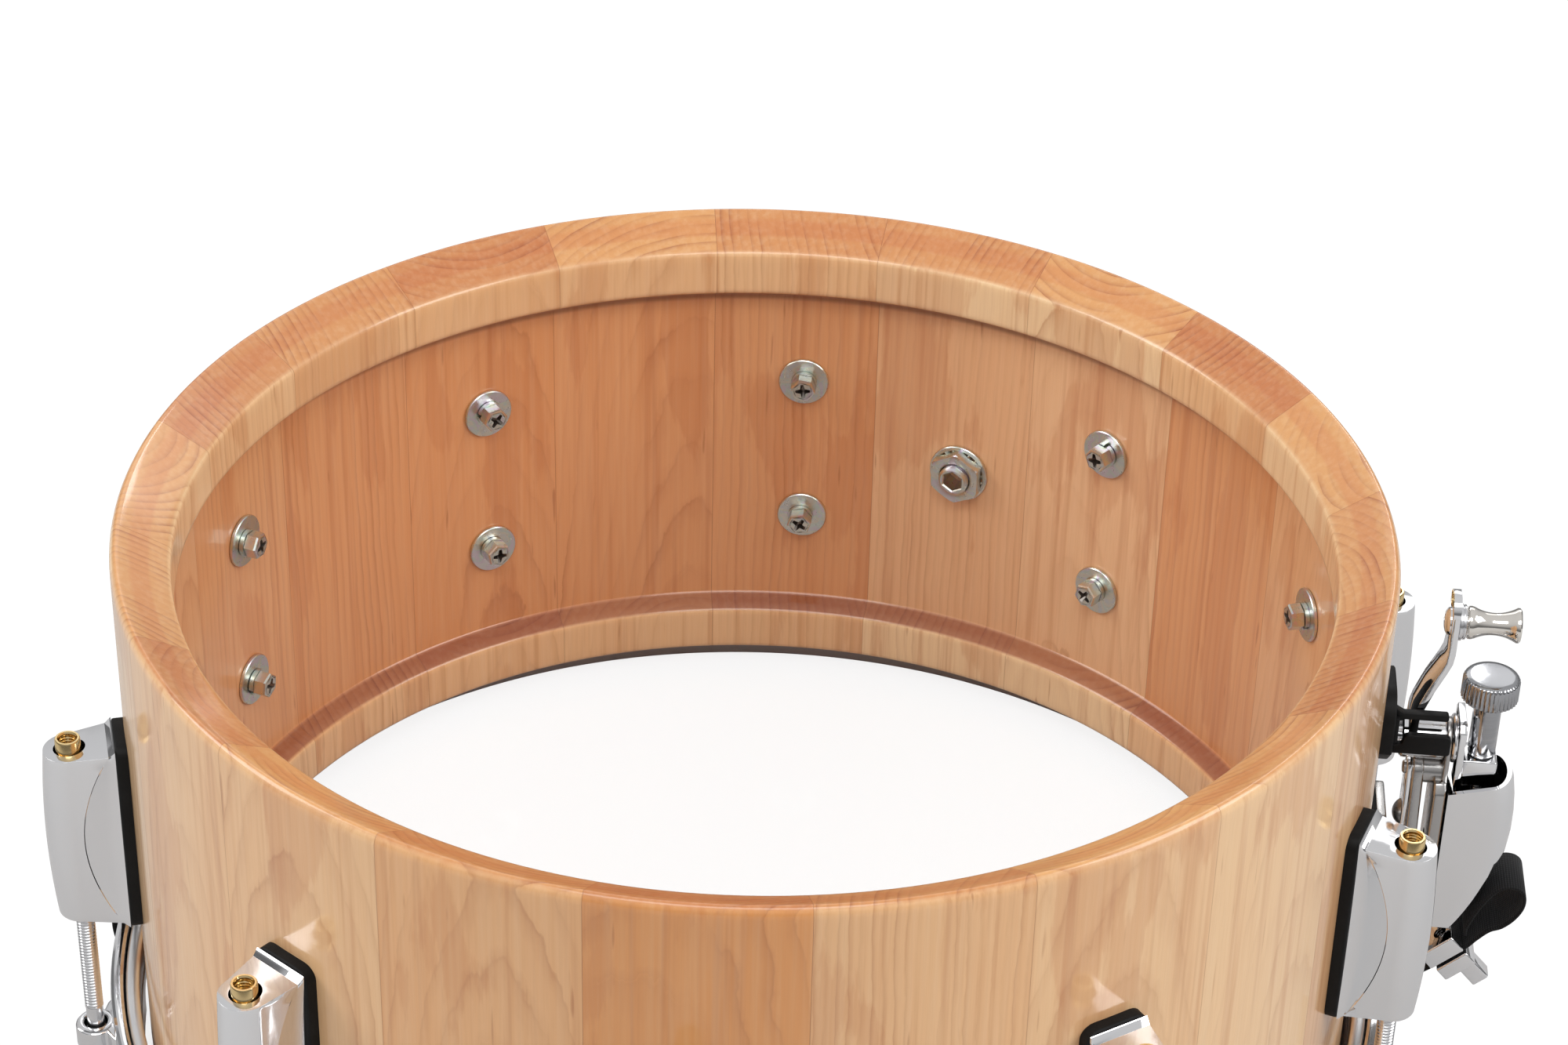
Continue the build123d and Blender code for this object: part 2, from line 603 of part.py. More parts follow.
# Black bracket above the frame: it carries the inner end of the lever's shaft.
BRACKET_FACE = 179.6
CHEEK_IN = -8.8
CHEEK_OUT = -11.0
with BuildPart() as lever_bracket:
    with BuildSketch(outward_plane(0, SHELL_R - 3, 0)):
        Polygon((-12, 113.5), (-4.5, 106.5), (4.5, 106.5), (12, 113.5), (12, 122), (-12, 122),
                align=None)
        with Locations((0, 122)):
            RectangleRounded(24, 18, 8)
    extrude(amount=BRACKET_FACE - SHELL_R + 3)
    Cylinder(SHELL_R, 200, align=(Align.CENTER, Align.CENTER, Align.MIN), mode=Mode.SUBTRACT)
    with BuildSketch(Plane.XZ.offset(-CHEEK_IN)):
        Polygon((BRACKET_FACE - 1, 113.4), (195.5, 113.4), (195.5, 118.2), (193.9, 119.8),
                (184, 119.8), (182.3, 118.1), (182.3, 116.4), (BRACKET_FACE - 1, 116.4), align=None)
    extrude(amount=CHEEK_IN - CHEEK_OUT)
    with Locations((BRACKET_FACE - 1, -8.6, 123.4)):
        Box(194.4 - BRACKET_FACE + 1, 2.7, 2.0, align=(Align.MIN, Align.MIN, Align.MIN))
    with Locations(outward_plane(0, SHELL_R, PIVOT_Z)):
        Cylinder(SHAFT_R + FIT, 12, mode=Mode.SUBTRACT)
lever_bracket.part.label = "lever_bracket"
export_step(lever_bracket.part, "parts/lever_bracket.step")

# ---- throw lever ----------------------------------------------------------------------------
ARM_Y = 0.0              # middle of the arm
ARM_W = 11.0
ARM_T = 2.2
ARM_IN_X = 184.2         # inner face of the arm's lower part
ARM_OUT_X = 191.9        # inner face of the arm's upper part
ARM_TOP = 161.2
KNOB_Z = 151.5
HUB_R = 6.4
HUB_IN = 182.6
HUB_OUT = 195.0
CRANK_R = 5.0            # eccentricity of the crank pin
CRANK_PIN_R = 1.8
DISC_IN = COLUMN_FACE + 0.2
DISC_OUT = 198.1
PIN_END = 200.6
PIN_Y = CRANK_R * sin(radians(45))
PIN_Z = PIVOT_Z + CRANK_R * cos(radians(45))
TRAVEL = 2 * CRANK_R * sin(radians(45))

with BuildPart() as throw_lever:
    # the arm's side view, cranked outwards half way up
    with BuildSketch(Plane.XZ.offset(-(ARM_Y - ARM_W / 2))):
        Polygon(
            (ARM_IN_X, 110),
            (ARM_IN_X, 122.0),
            (ARM_OUT_X, 140.0),
            (ARM_OUT_X, ARM_TOP),
            (ARM_OUT_X + ARM_T, ARM_TOP),
            (ARM_OUT_X + ARM_T, 139.4),
            (ARM_IN_X + ARM_T + 0.3, 121.4),
            (ARM_IN_X + ARM_T + 0.3, 110),
            align=None,
        )
    extrude(amount=-ARM_W)
    # rounded upper end
    with BuildSketch(outward_plane(0, ARM_IN_X - 1, 0)):
        with Locations((ARM_Y, ARM_TOP - ARM_W / 2)):
            Circle(ARM_W / 2)
        with Locations((ARM_Y, ARM_TOP - ARM_W / 2 - 30)):
            Rectangle(ARM_W, 60)
    extrude(amount=20, mode=Mode.INTERSECT)
    with BuildSketch(outward_plane(0, HUB_IN, PIVOT_Z)):
        Circle(HUB_R)
    extrude(amount=HUB_OUT - HUB_IN)
    with Locations(outward_plane(0, HUB_IN, PIVOT_Z)):
        Cylinder(SHAFT_R, 60, mode=Mode.SUBTRACT)
    with BuildSketch(outward_plane(0, ARM_OUT_X - 1, KNOB_Z)):
        with Locations((ARM_Y, 0)):
            Circle(1.8)
    extrude(amount=10, mode=Mode.SUBTRACT)
throw_lever.part.label = "throw_lever"
export_step(throw_lever.part, "parts/throw_lever.step")

# The lever's shaft ends in a disc with an off-centre pin that lifts the housing.
with BuildPart() as lever_shaft:
    with BuildSketch(outward_plane(0, 177.6, PIVOT_Z)):
        Circle(SHAFT_R)
    extrude(amount=DISC_IN - 177.6)
    with BuildSketch(outward_plane(0, DISC_IN, PIVOT_Z)):
        Circle(7.0)
    extrude(amount=DISC_OUT - DISC_IN)
    with BuildSketch(outward_plane(0, DISC_OUT, 0)):
        with Locations((PIN_Y, PIN_Z)):
            Circle(CRANK_PIN_R)
    extrude(amount=PIN_END - DISC_OUT)
lever_shaft.part.label = "lever_shaft"
export_step(lever_shaft.part, "parts/lever_shaft.step")

KNOB_IN = ARM_OUT_X + ARM_T + 2.4
KNOB_LEN = 14.7
SPINDLE_R = 1.8

with BuildPart() as lever_rivet:
    with BuildSketch(outward_plane(0, ARM_OUT_X - 1.7, KNOB_Z)):
        with Locations((ARM_Y, 0)):
            Circle(4.0)
    extrude(amount=1.7)
    with BuildSketch(outward_plane(0, ARM_OUT_X, KNOB_Z)):
        with Locations((ARM_Y, 0)):
            Circle(SPINDLE_R)
    extrude(amount=KNOB_IN + KNOB_LEN - 2.0 - ARM_OUT_X)
lever_rivet.part.label = "lever_rivet"
export_step(lever_rivet.part, "parts/lever_rivet.step")

with BuildPart() as lever_washer:
    with BuildSketch(outward_plane(0, ARM_OUT_X + ARM_T, KNOB_Z)):
        with Locations((ARM_Y, 0)):
            Circle(5.2)
            Circle(SPINDLE_R, mode=Mode.SUBTRACT)
    extrude(amount=2.1)
lever_washer.part.label = "lever_washer"
export_step(lever_washer.part, "parts/lever_washer.step")

# Waisted knob that turns on the rivet.
with BuildPart() as lever_knob:
    with BuildSketch(Plane.XZ):
        with BuildLine():
            Polyline((KNOB_IN + 1.6, 4.6), (KNOB_IN, 4.6), (KNOB_IN, 0), (KNOB_IN + KNOB_LEN, 0),
                     (KNOB_IN + KNOB_LEN, 4.2), (KNOB_IN + KNOB_LEN - 0.8, 4.9))
            ThreePointArc((KNOB_IN + KNOB_LEN - 0.8, 4.9), (KNOB_IN + 8.0, 3.1),
                          (KNOB_IN + 1.6, 4.6))
        make_face()
    revolve(axis=Axis.X)
    with BuildSketch(Plane.YZ.offset(KNOB_IN - 1)):
        Circle(SPINDLE_R + FIT)
    extrude(amount=KNOB_LEN - 2.0 + 1 + 0.3, mode=Mode.SUBTRACT)
knob_turned = lever_knob.part.translate((0, ARM_Y, KNOB_Z))
knob_turned.label = "lever_knob"
export_step(knob_turned, "parts/lever_knob.step")

# ---- sliding housing ------------------------------------------------------------------------
HOUSING_W = 18.6
# height, end of the flat sides, outermost reach: a bulge that draws in towards the bottom
HOUSING_SECTIONS = [
    (52, 202.0, 204.8),
    (58, 205.3, 208.4),
    (66, 208.4, 212.2),
    (78, 210.7, 216.4),
    (90, 210.6, 217.0),
    (104.5, 209.2, 215.0),
]
TAB_IN = 198.4           # the tab that the crank pin lifts
TAB_T = 2.0
TAB_TOP = 119.5
SLOT_HALF_H = CRANK_PIN_R + 0.35


def housing_section(height, nose, reach, inset):
    """A D-shaped outline: flat sides and a rounded outer end."""
    half = HOUSING_W / 2 - inset
    with BuildSketch(Plane.XY.offset(height)) as section:
        with BuildLine():
            ThreePointArc((nose, -half), (reach - inset, 0), (nose, half))
            Polyline((nose, half), (CARRIAGE_X + inset, half), (CARRIAGE_X + inset, -half),
                     (nose, -half))
        make_face()
    return section.sketch


with BuildPart() as carriage_housing:
    loft([housing_section(*row, 0) for row in HOUSING_SECTIONS])
    loft([housing_section(*row, CARRIAGE_WALL) for row in HOUSING_SECTIONS], mode=Mode.SUBTRACT)
    # the rim falls towards the column
    with BuildSketch(Plane.XZ):
        Polygon((CARRIAGE_X - 1, 98.8), (220, 104.5), (220, 110), (CARRIAGE_X - 1, 110), align=None)
    extrude(amount=20, both=True, mode=Mode.SUBTRACT)
    # tab with the crank pin's slot
    with BuildSketch(outward_plane(0, TAB_IN, 0)):
        with Locations((2.0, (91 + TAB_TOP) / 2)):
            Rectangle(15, TAB_TOP - 91)
        with Locations((CRANK_R - 0.8, PIN_Z)):
            Rectangle(6.0, 2 * SLOT_HALF_H, mode=Mode.SUBTRACT)
    extrude(amount=TAB_T)
    # slots for the guide studs
    for height in GUIDE_HEIGHTS:
        with BuildSketch(outward_plane(0, CARRIAGE_X - 1, 0)):
            with Locations((0, height + TRAVEL / 2)):
                SlotOverall(TRAVEL + 2 * (GUIDE_STUD_R + CLEAR) + 0.6,
                            2 * (GUIDE_STUD_R + CLEAR), rotation=90)
        extrude(amount=CARRIAGE_WALL + 1.2, mode=Mode.SUBTRACT)
carriage_housing.part.label = "carriage_housing"
export_step(carriage_housing.part, "parts/carriage_housing.step")

SCREW_X = 205.6          # axis of the tension screw
SCREW_R = 2.0
BLOCK_BOTTOM = 99.5
BLOCK_TOP = 108.0

with BuildPart() as adjuster_block:
    with Locations((TAB_IN + TAB_T, 0, BLOCK_BOTTOM)):
        Box(9.6, 9.4, BLOCK_TOP - BLOCK_BOTTOM, align=(Align.MIN, Align.CENTER, Align.MIN))
    with Locations((SCREW_X, 0, BLOCK_TOP)):
        Cylinder(SCREW_R + FIT, 40, mode=Mode.SUBTRACT)
adjuster_block.part.label = "adjuster_block"
export_step(adjuster_block.part, "parts/adjuster_block.step")

KNOB_DISC_R = 8.0
KNURLS = 40
with BuildPart() as tension_knob:
    with BuildSketch(Plane.XY.offset(126.5)):
        Circle(KNOB_DISC_R)
        with PolarLocations(KNOB_DISC_R + 0.1, KNURLS):
            Circle(0.35, mode=Mode.SUBTRACT)
    extrude(amount=8.0)
    with BuildSketch(Plane.XY.offset(BLOCK_TOP + CLEAR)):
        Circle(3.9)
    extrude(amount=126.5 - BLOCK_TOP - CLEAR)
    with BuildSketch(Plane.XY.offset(61.5)):
        Circle(SCREW_R)
    extrude(amount=BLOCK_TOP + CLEAR - 61.5)
tension_knob_part = tension_knob.part.translate((SCREW_X, 0, 0))
tension_knob_part.label = "tension_knob"
export_step(tension_knob_part, "parts/tension_knob.step")

# ---- snare clamp ----------------------------------------------------------------------------
TILT = 42.0              # the strap leaves the clamp at this angle above the horizontal
CLAMP_W = 20.0
CLAMP_X = 203.9          # upper outer corner of the clamp body
CLAMP_Z = 49.0
CLAMP_BODY_T = 6.0
CLAMP_BODY_L = 11.5
CLAMP_GAP = 1.1
JAW_T = 4.8
JAW_L = 10.5
KEY_SQUARE = 5.6
KEY_LEN = 8.0
KEY_PITCH = 9.0
KEY_Y = -KEY_PITCH / 2
ALONG = (cos(radians(TILT)), sin(radians(TILT)))
ACROSS = (sin(radians(TILT)), -cos(radians(TILT)))


def clamp_point(along, across):
    """A point measured from the clamp's corner: along the strap, and across it towards the jaw."""
    return (
        CLAMP_X + along * ALONG[0] + across * ACROSS[0],
        CLAMP_Z + along * ALONG[1] + across * ACROSS[1],
    )


def clamp_bar(near, far, length, width):
    """A bar between two distances across the strap, as long as length."""
    corners = [(0, near), (0, far), (-length, far), (-length, near)]
    with BuildSketch(Plane.XZ.offset(width / 2)) as bar:
        Polygon(*[clamp_point(*corner) for corner in corners], align=None)
    extrude(bar.sketch, amount=-width)


def clamp_pins(near, far, radius, mode):
    """Two round pins across the strap."""
    x, z = clamp_point(-3.8, near)
    square = Plane(origin=(x, 0, z), x_dir=(0, 1, 0), z_dir=(ACROSS[0], 0, ACROSS[1]))
    with BuildSketch(square) as pins:
        with GridLocations(KEY_PITCH, 1, 2, 1):
            Circle(radius)
    extrude(pins.sketch, amount=far - near, mode=mode)


JAW_NEAR = CLAMP_BODY_T + CLAMP_GAP
JAW_FAR = JAW_NEAR + JAW_T

with BuildPart() as clamp_slider:
    clamp_bar(0, CLAMP_BODY_T, CLAMP_BODY_L, CLAMP_W)
    clamp_pins(-1, CLAMP_BODY_T, 2.0, Mode.SUBTRACT)
    with Locations((200.3, 0, 46)):
        Box(2.6, 7.0, 20, align=(Align.MIN, Align.CENTER, Align.MIN))
    with Locations((200.3, 0, 66)):
        Box(8.5, 7.0, 8, align=(Align.MIN, Align.CENTER, Align.MIN))
    with Locations((SCREW_X, 0, 70)):
        Cylinder(SCREW_R + FIT, 20, mode=Mode.SUBTRACT)
clamp_slider.part.label = "clamp_slider"
export_step(clamp_slider.part, "parts/clamp_slider.step")

with BuildPart() as clamp_jaw:
    clamp_bar(JAW_NEAR, JAW_FAR, JAW_L, CLAMP_W)
    clamp_pins(JAW_NEAR - 1, JAW_FAR + 1, 2.0, Mode.SUBTRACT)
clamp_jaw.part.label = "clamp_jaw"
export_step(clamp_jaw.part, "parts/clamp_jaw.step")

with BuildPart() as clamp_key:
    x, z = clamp_point(-3.8, 2.0)
    with BuildSketch(Plane((x, KEY_Y, z), x_dir=(0, 1, 0), z_dir=(ACROSS[0], 0, ACROSS[1]))):
        Circle(2.0)
    extrude(amount=JAW_FAR - 2.0)
    x, z = clamp_point(-3.8, JAW_FAR)
    with BuildSketch(Plane((x, KEY_Y, z), x_dir=(0, 1, 0), z_dir=(ACROSS[0], 0, ACROSS[1]))):
        RectangleRounded(KEY_SQUARE, KEY_SQUARE, 0.8)
    extrude(amount=KEY_LEN)
clamp_key.part.label = "clamp_key"
export_step(clamp_key.part, "parts/clamp_key.step")

# ---- ribbon straps --------------------------------------------------------------------------
SLIT = CLAMP_BODY_T + CLAMP_GAP / 2


def ribbon(points, radii):
    """A flat ribbon that follows a route in the XZ plane, with rounded turns."""
    with BuildSketch(Plane.XZ) as side_view:
        with BuildLine():
            FilletPolyline(*points, radius=radii)
        trace(line_width=STRAP_T)
    extrude(side_view.sketch, amount=STRAP_W / 2, both=True)


# The free end: through the clamp's slit, round a loose teardrop and back to the slit.
with BuildPart() as strap_loop:
    ribbon(
        [
            clamp_point(-CLAMP_BODY_L, SLIT),
            clamp_point(1.2, SLIT),
            (213.4, 50.6),
            (218.2, 52.4),
            (223.2, 59.0),
            (222.6, 66.0),
            (218.2, 67.6),
            (213.6, 64.6),
            (209.6, 57.0),
            (207.6, 50.4),
            (208.3, 47.2),
        ],
        [2.0, 3.0, 4.0, 3.0, 2.4, 3.0, 4.0, 4.0, 1.2],
    )
    clamp_pins(SLIT - 2, SLIT + 2, 2.3, Mode.SUBTRACT)
strap_loop.part.label = "strap_loop"
export_step(strap_loop.part, "parts/strap_loop.step")

SLIT_FOOT = clamp_point(-CLAMP_BODY_L - 0.6, SLIT)
with BuildPart() as snare_strap:
    ribbon(
        [(PLATE_IN + 3, STRAP_Z), (187.0, STRAP_Z), (191.0, 14.0), SLIT_FOOT],
        [4.0, 12.0],
    )
snare_strap.part.label = "snare_strap"
export_step(snare_strap.part, "parts/snare_strap.step")

# ---- butt plate -----------------------------------------------------------------------------
BUTT_FACE = 178.0
BUTT_Z = 56.0
BUTT_SLIT_X = 187.5
BUTT_GAP = 1.2
with BuildPart() as butt_gasket:
    with BuildSketch(outward_plane(BUTT_ANGLE, SHELL_R - 3, BUTT_Z)):
        RectangleRounded(45, 36, 5)
    extrude(amount=BUTT_FACE - SHELL_R + 3)
    Cylinder(SHELL_R, 200, align=(Align.CENTER, Align.CENTER, Align.MIN), mode=Mode.SUBTRACT)
    with Locations(*[outward_plane(BUTT_ANGLE, SHELL_R, h) for h in BUTT_BOLT_HEIGHTS]):
        Cylinder(LUG_HOLE_R, 20, mode=Mode.SUBTRACT)
butt_gasket.part.label = "butt_gasket"
export_step(butt_gasket.part, "parts/butt_gasket.step")

with BuildPart() as butt_plate:
    with BuildSketch(outward_plane(BUTT_ANGLE, BUTT_FACE, BUTT_Z)):
        RectangleRounded(43, 34, 5)
    extrude(amount=3)
    with BuildSketch(outward_plane(BUTT_ANGLE, BUTT_FACE + 3, BUTT_Z)):
        RectangleRounded(30, 22, 3)
    extrude(amount=BUTT_SLIT_X - BUTT_GAP / 2 - BUTT_FACE - 3)
    chamfer(faces().sort_by(Axis.X)[0].edges(), 0.8)
    with Locations(*[outward_plane(BUTT_ANGLE, BUTT_FACE, h) for h in BUTT_BOLT_HEIGHTS]):
        Cylinder(LUG_BOLT_R, 3, mode=Mode.SUBTRACT)
    with BuildSketch(outward_plane(BUTT_ANGLE, BUTT_SLIT_X - BUTT_GAP / 2 - 5, BUTT_Z)):
        with GridLocations(22, 1, 2, 1):
            Circle(2.0)
    extrude(amount=6, mode=Mode.SUBTRACT)
butt_plate.part.label = "butt_plate"
export_step(butt_plate.part, "parts/butt_plate.step")

with BuildPart() as butt_jaw:
    with BuildSketch(outward_plane(BUTT_ANGLE, BUTT_SLIT_X + BUTT_GAP / 2, BUTT_Z)):
        RectangleRounded(30, 14, 3)
        with GridLocations(22, 1, 2, 1):
            Circle(2.0, mode=Mode.SUBTRACT)
    extrude(amount=3.2)
butt_jaw.part.label = "butt_jaw"
export_step(butt_jaw.part, "parts/butt_jaw.step")

with BuildPart() as butt_keys:
    with BuildSketch(outward_plane(BUTT_ANGLE, BUTT_SLIT_X - BUTT_GAP / 2 - 5, BUTT_Z)):
        with GridLocations(22, 1, 2, 1):
            Circle(2.0)
    extrude(amount=5 + BUTT_GAP + 3.2)
    with BuildSketch(outward_plane(BUTT_ANGLE, BUTT_SLIT_X + BUTT_GAP / 2 + 3.2, BUTT_Z)):
        with GridLocations(22, 1, 2, 1):
            RectangleRounded(KEY_SQUARE, KEY_SQUARE, 0.8)
    extrude(amount=KEY_LEN)
butt_keys.part.label = "butt_keys"
export_step(butt_keys.part, "parts/butt_keys.step")

with BuildPart() as butt_strap:
    ribbon(
        [
            (-PLATE_IN - 3, STRAP_Z),
            (-187.6, STRAP_Z),
            (-190.4, 18.0),
            (-BUTT_SLIT_X, 40.0),
            (-BUTT_SLIT_X, 69.0),
        ],
        [5.0, 20.0, 12.0],
    )
butt_strap.part.label = "butt_strap"
export_step(butt_strap.part, "parts/butt_strap.step")
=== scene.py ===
import random
from math import cos, degrees, pi, radians, sin, sqrt

import bmesh
import bpy
from mathutils import Matrix, Vector


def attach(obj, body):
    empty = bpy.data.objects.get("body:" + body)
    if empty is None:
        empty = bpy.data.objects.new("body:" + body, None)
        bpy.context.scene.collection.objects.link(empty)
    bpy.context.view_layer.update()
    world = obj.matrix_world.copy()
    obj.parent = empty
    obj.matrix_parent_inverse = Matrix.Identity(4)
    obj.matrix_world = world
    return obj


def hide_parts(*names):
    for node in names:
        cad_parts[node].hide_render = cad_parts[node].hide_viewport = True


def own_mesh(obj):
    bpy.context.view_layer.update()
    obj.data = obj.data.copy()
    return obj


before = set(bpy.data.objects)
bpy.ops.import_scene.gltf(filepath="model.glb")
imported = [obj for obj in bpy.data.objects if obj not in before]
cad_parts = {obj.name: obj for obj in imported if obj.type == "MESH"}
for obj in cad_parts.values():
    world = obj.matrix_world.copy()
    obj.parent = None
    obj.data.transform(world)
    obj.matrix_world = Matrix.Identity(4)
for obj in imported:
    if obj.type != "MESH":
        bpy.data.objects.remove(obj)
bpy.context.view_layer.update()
scene = bpy.context.scene
MM = 0.001

# ---- sizes, in millimetres ----
SHELL_R, WALL_R = 176.2, 166.5
HEAD_Z, TOP_Z = 8.0, 173.1
MID_Z = (HEAD_Z + TOP_Z) / 2
ROD_R, SCREW_X = 191.6, 205.6
LUG_ANGLES = [18 + 36 * i for i in range(10)]
BOLT_HEIGHTS = (MID_Z - 25.4, MID_Z + 25.4)
STAVE_COUNT, STAVE_START = 20, 10
STAVE_TURN = 360 / STAVE_COUNT


# ---- node materials ----
def operator(op, swap=False):
    """A method that makes a math node of two values, the other way round where swapped."""
    return lambda a, b: a.shader.math(op, *((b, a) if swap else (a, b)))


class Value:
    """A number inside a node material; sums with it become math nodes."""

    def __init__(self, shader, socket):
        self.shader, self.socket = shader, socket

    __add__, __sub__, __mul__ = operator("ADD"), operator("SUBTRACT"), operator("MULTIPLY")
    __truediv__, __rsub__ = operator("DIVIDE"), operator("SUBTRACT", True)


class Shader:
    """Builds a node material a step at a time from numbers, colours and Values."""

    def __init__(self, name, holder=None, end="Principled BSDF", space="Object"):
        self.mat = holder or bpy.data.materials.new(name)
        self.mat.use_nodes = True
        self.tree = self.mat.node_tree
        self.bsdf = self.tree.nodes[end]
        self.coords = Value(self, self.new("TexCoord").outputs[space])

    def new(self, kind):
        return self.tree.nodes.new("ShaderNode" + kind)

    def put(self, value, socket):
        if isinstance(value, Value):
            self.tree.links.new(value.socket, socket)
        elif isinstance(value, tuple) and len(value) == 3 and socket.type == "RGBA":
            socket.default_value = (*value, 1)
        else:
            socket.default_value = value

    def feed(self, node, values, out=0):
        """Fills a node's inputs, given by number or name, and returns one output."""
        for key, value in values.items():
            self.put(value, node.inputs[key])
        return Value(self, node.outputs[out])

    def math(self, op, *values, clamp=False):
        node = self.new("Math")
        node.operation = op
        node.use_clamp = clamp
        return self.feed(node, dict(enumerate(values)))

    def mad(self, value, factor, offset):
        return self.math("MULTIPLY_ADD", value, factor, offset)

    def length(self, a, b):
        return self.math("SQRT", a * a + b * b)

    def step(self, value, low, high):
        node = self.new("MapRange")
        node.interpolation_type = "SMOOTHSTEP"
        return self.feed(node, {"Value": value, "From Min": low, "From Max": high})

    def fall(self, value, low, high):
        return 1.0 - self.step(value, low, high)

    def split(self, vector):
        node = self.new("SeparateXYZ")
        self.put(vector, node.inputs[0])
        return [Value(self, socket) for socket in node.outputs]

    def join(self, *values):
        return self.feed(self.new("CombineXYZ"), dict(enumerate(values)))

    def noise(self, vector, scale, detail=2, rough=0.5, distortion=0.0):
        """Noise of a number of cells per metre, one number or one for each axis."""
        stretch = self.new("VectorMath")
        stretch.operation = "MULTIPLY"
        scale = scale if isinstance(scale, tuple) else (scale,) * 3
        vector = self.feed(stretch, {0: vector, 1: scale})
        return self.texture(vector, detail, rough, distortion)

    def texture(self, vector, detail, rough, distortion=0.0):
        return self.feed(self.new("TexNoise"), {
            "Vector": vector, "Scale": 1.0, "Detail": detail, "Roughness": rough,
            "Distortion": distortion}, "Fac")

    def ramp(self, fac, stops, mode="LINEAR"):
        """A colour ramp: its colour, and its alpha too where the stops have four numbers."""
        node = self.new("ValToRGB")
        node.color_ramp.interpolation = mode
        elements = node.color_ramp.elements
        while len(elements) < len(stops):
            elements.new(0.5)
        for element, (place, colour) in zip(elements, stops):
            element.position = place
            element.color = (*colour, 1)[:4]
        colour = self.feed(node, {0: fac})
        return colour if len(stops[0][1]) == 3 else (colour, Value(self, node.outputs[1]))

    def mix(self, fac, a, b, mode="MIX"):
        node = self.new("Mix")
        node.data_type = "RGBA"
        node.blend_type = mode
        return self.feed(node, {0: fac, 6: a, 7: b}, 2)

    def bump(self, height, distance, strength):
        normal = self.feed(self.new("Bump"), {"Strength": strength, "Distance": distance,
                                              "Height": height})
        self.put(normal, self.bsdf.inputs["Normal"])

    def set(self, **values):
        for name, value in values.items():
            self.put(value, self.bsdf.inputs[name.replace("_", " ")])
        return self.mat


def linear(r, g, b):
    """sRGB 0-255 to linear."""
    return tuple(c / 255 / 12.92 if c <= 10 else ((c / 255 + 0.055) / 1.055) ** 2.4
                 for c in (r, g, b))


# for each stave: end grain's tone, direction of the tree's heart (turns), distance of the
# heart, and the faces' tone
STAVES = [
    (0.80, 0.30, 0.55, 0.62), (0.10, 0.03, 0.80, 0.30), (0.75, 0.22, 0.45, 0.95),
    (0.40, 0.54, 0.90, 0.80), (0.30, 0.46, 0.95, 0.28), (0.75, 0.70, 0.50, 0.24),
    (0.15, 0.27, 0.60, 0.15), (0.45, 0.02, 0.70, 0.22), (0.25, 0.52, 0.60, 0.40),
    (0.75, 0.33, 0.40, 0.60), (0.70, 0.04, 0.90, 0.85), (0.25, 0.76, 0.25, 0.62),
    (0.85, 0.74, 0.30, 0.60), (0.45, 0.77, 0.20, 0.34), (0.10, 0.72, 0.60, 0.02),
    (0.40, 0.06, 0.80, 0.50), (1.00, 0.75, 0.35, 0.70), (0.70, 0.80, 0.45, 0.80),
    (0.20, 0.47, 0.90, 0.62), (0.60, 0.70, 0.55, 0.50),
]
BOARD_R, RING_GAP = 0.168, 0.0028  # metres: the staves' middle, and the growth rings' spacing


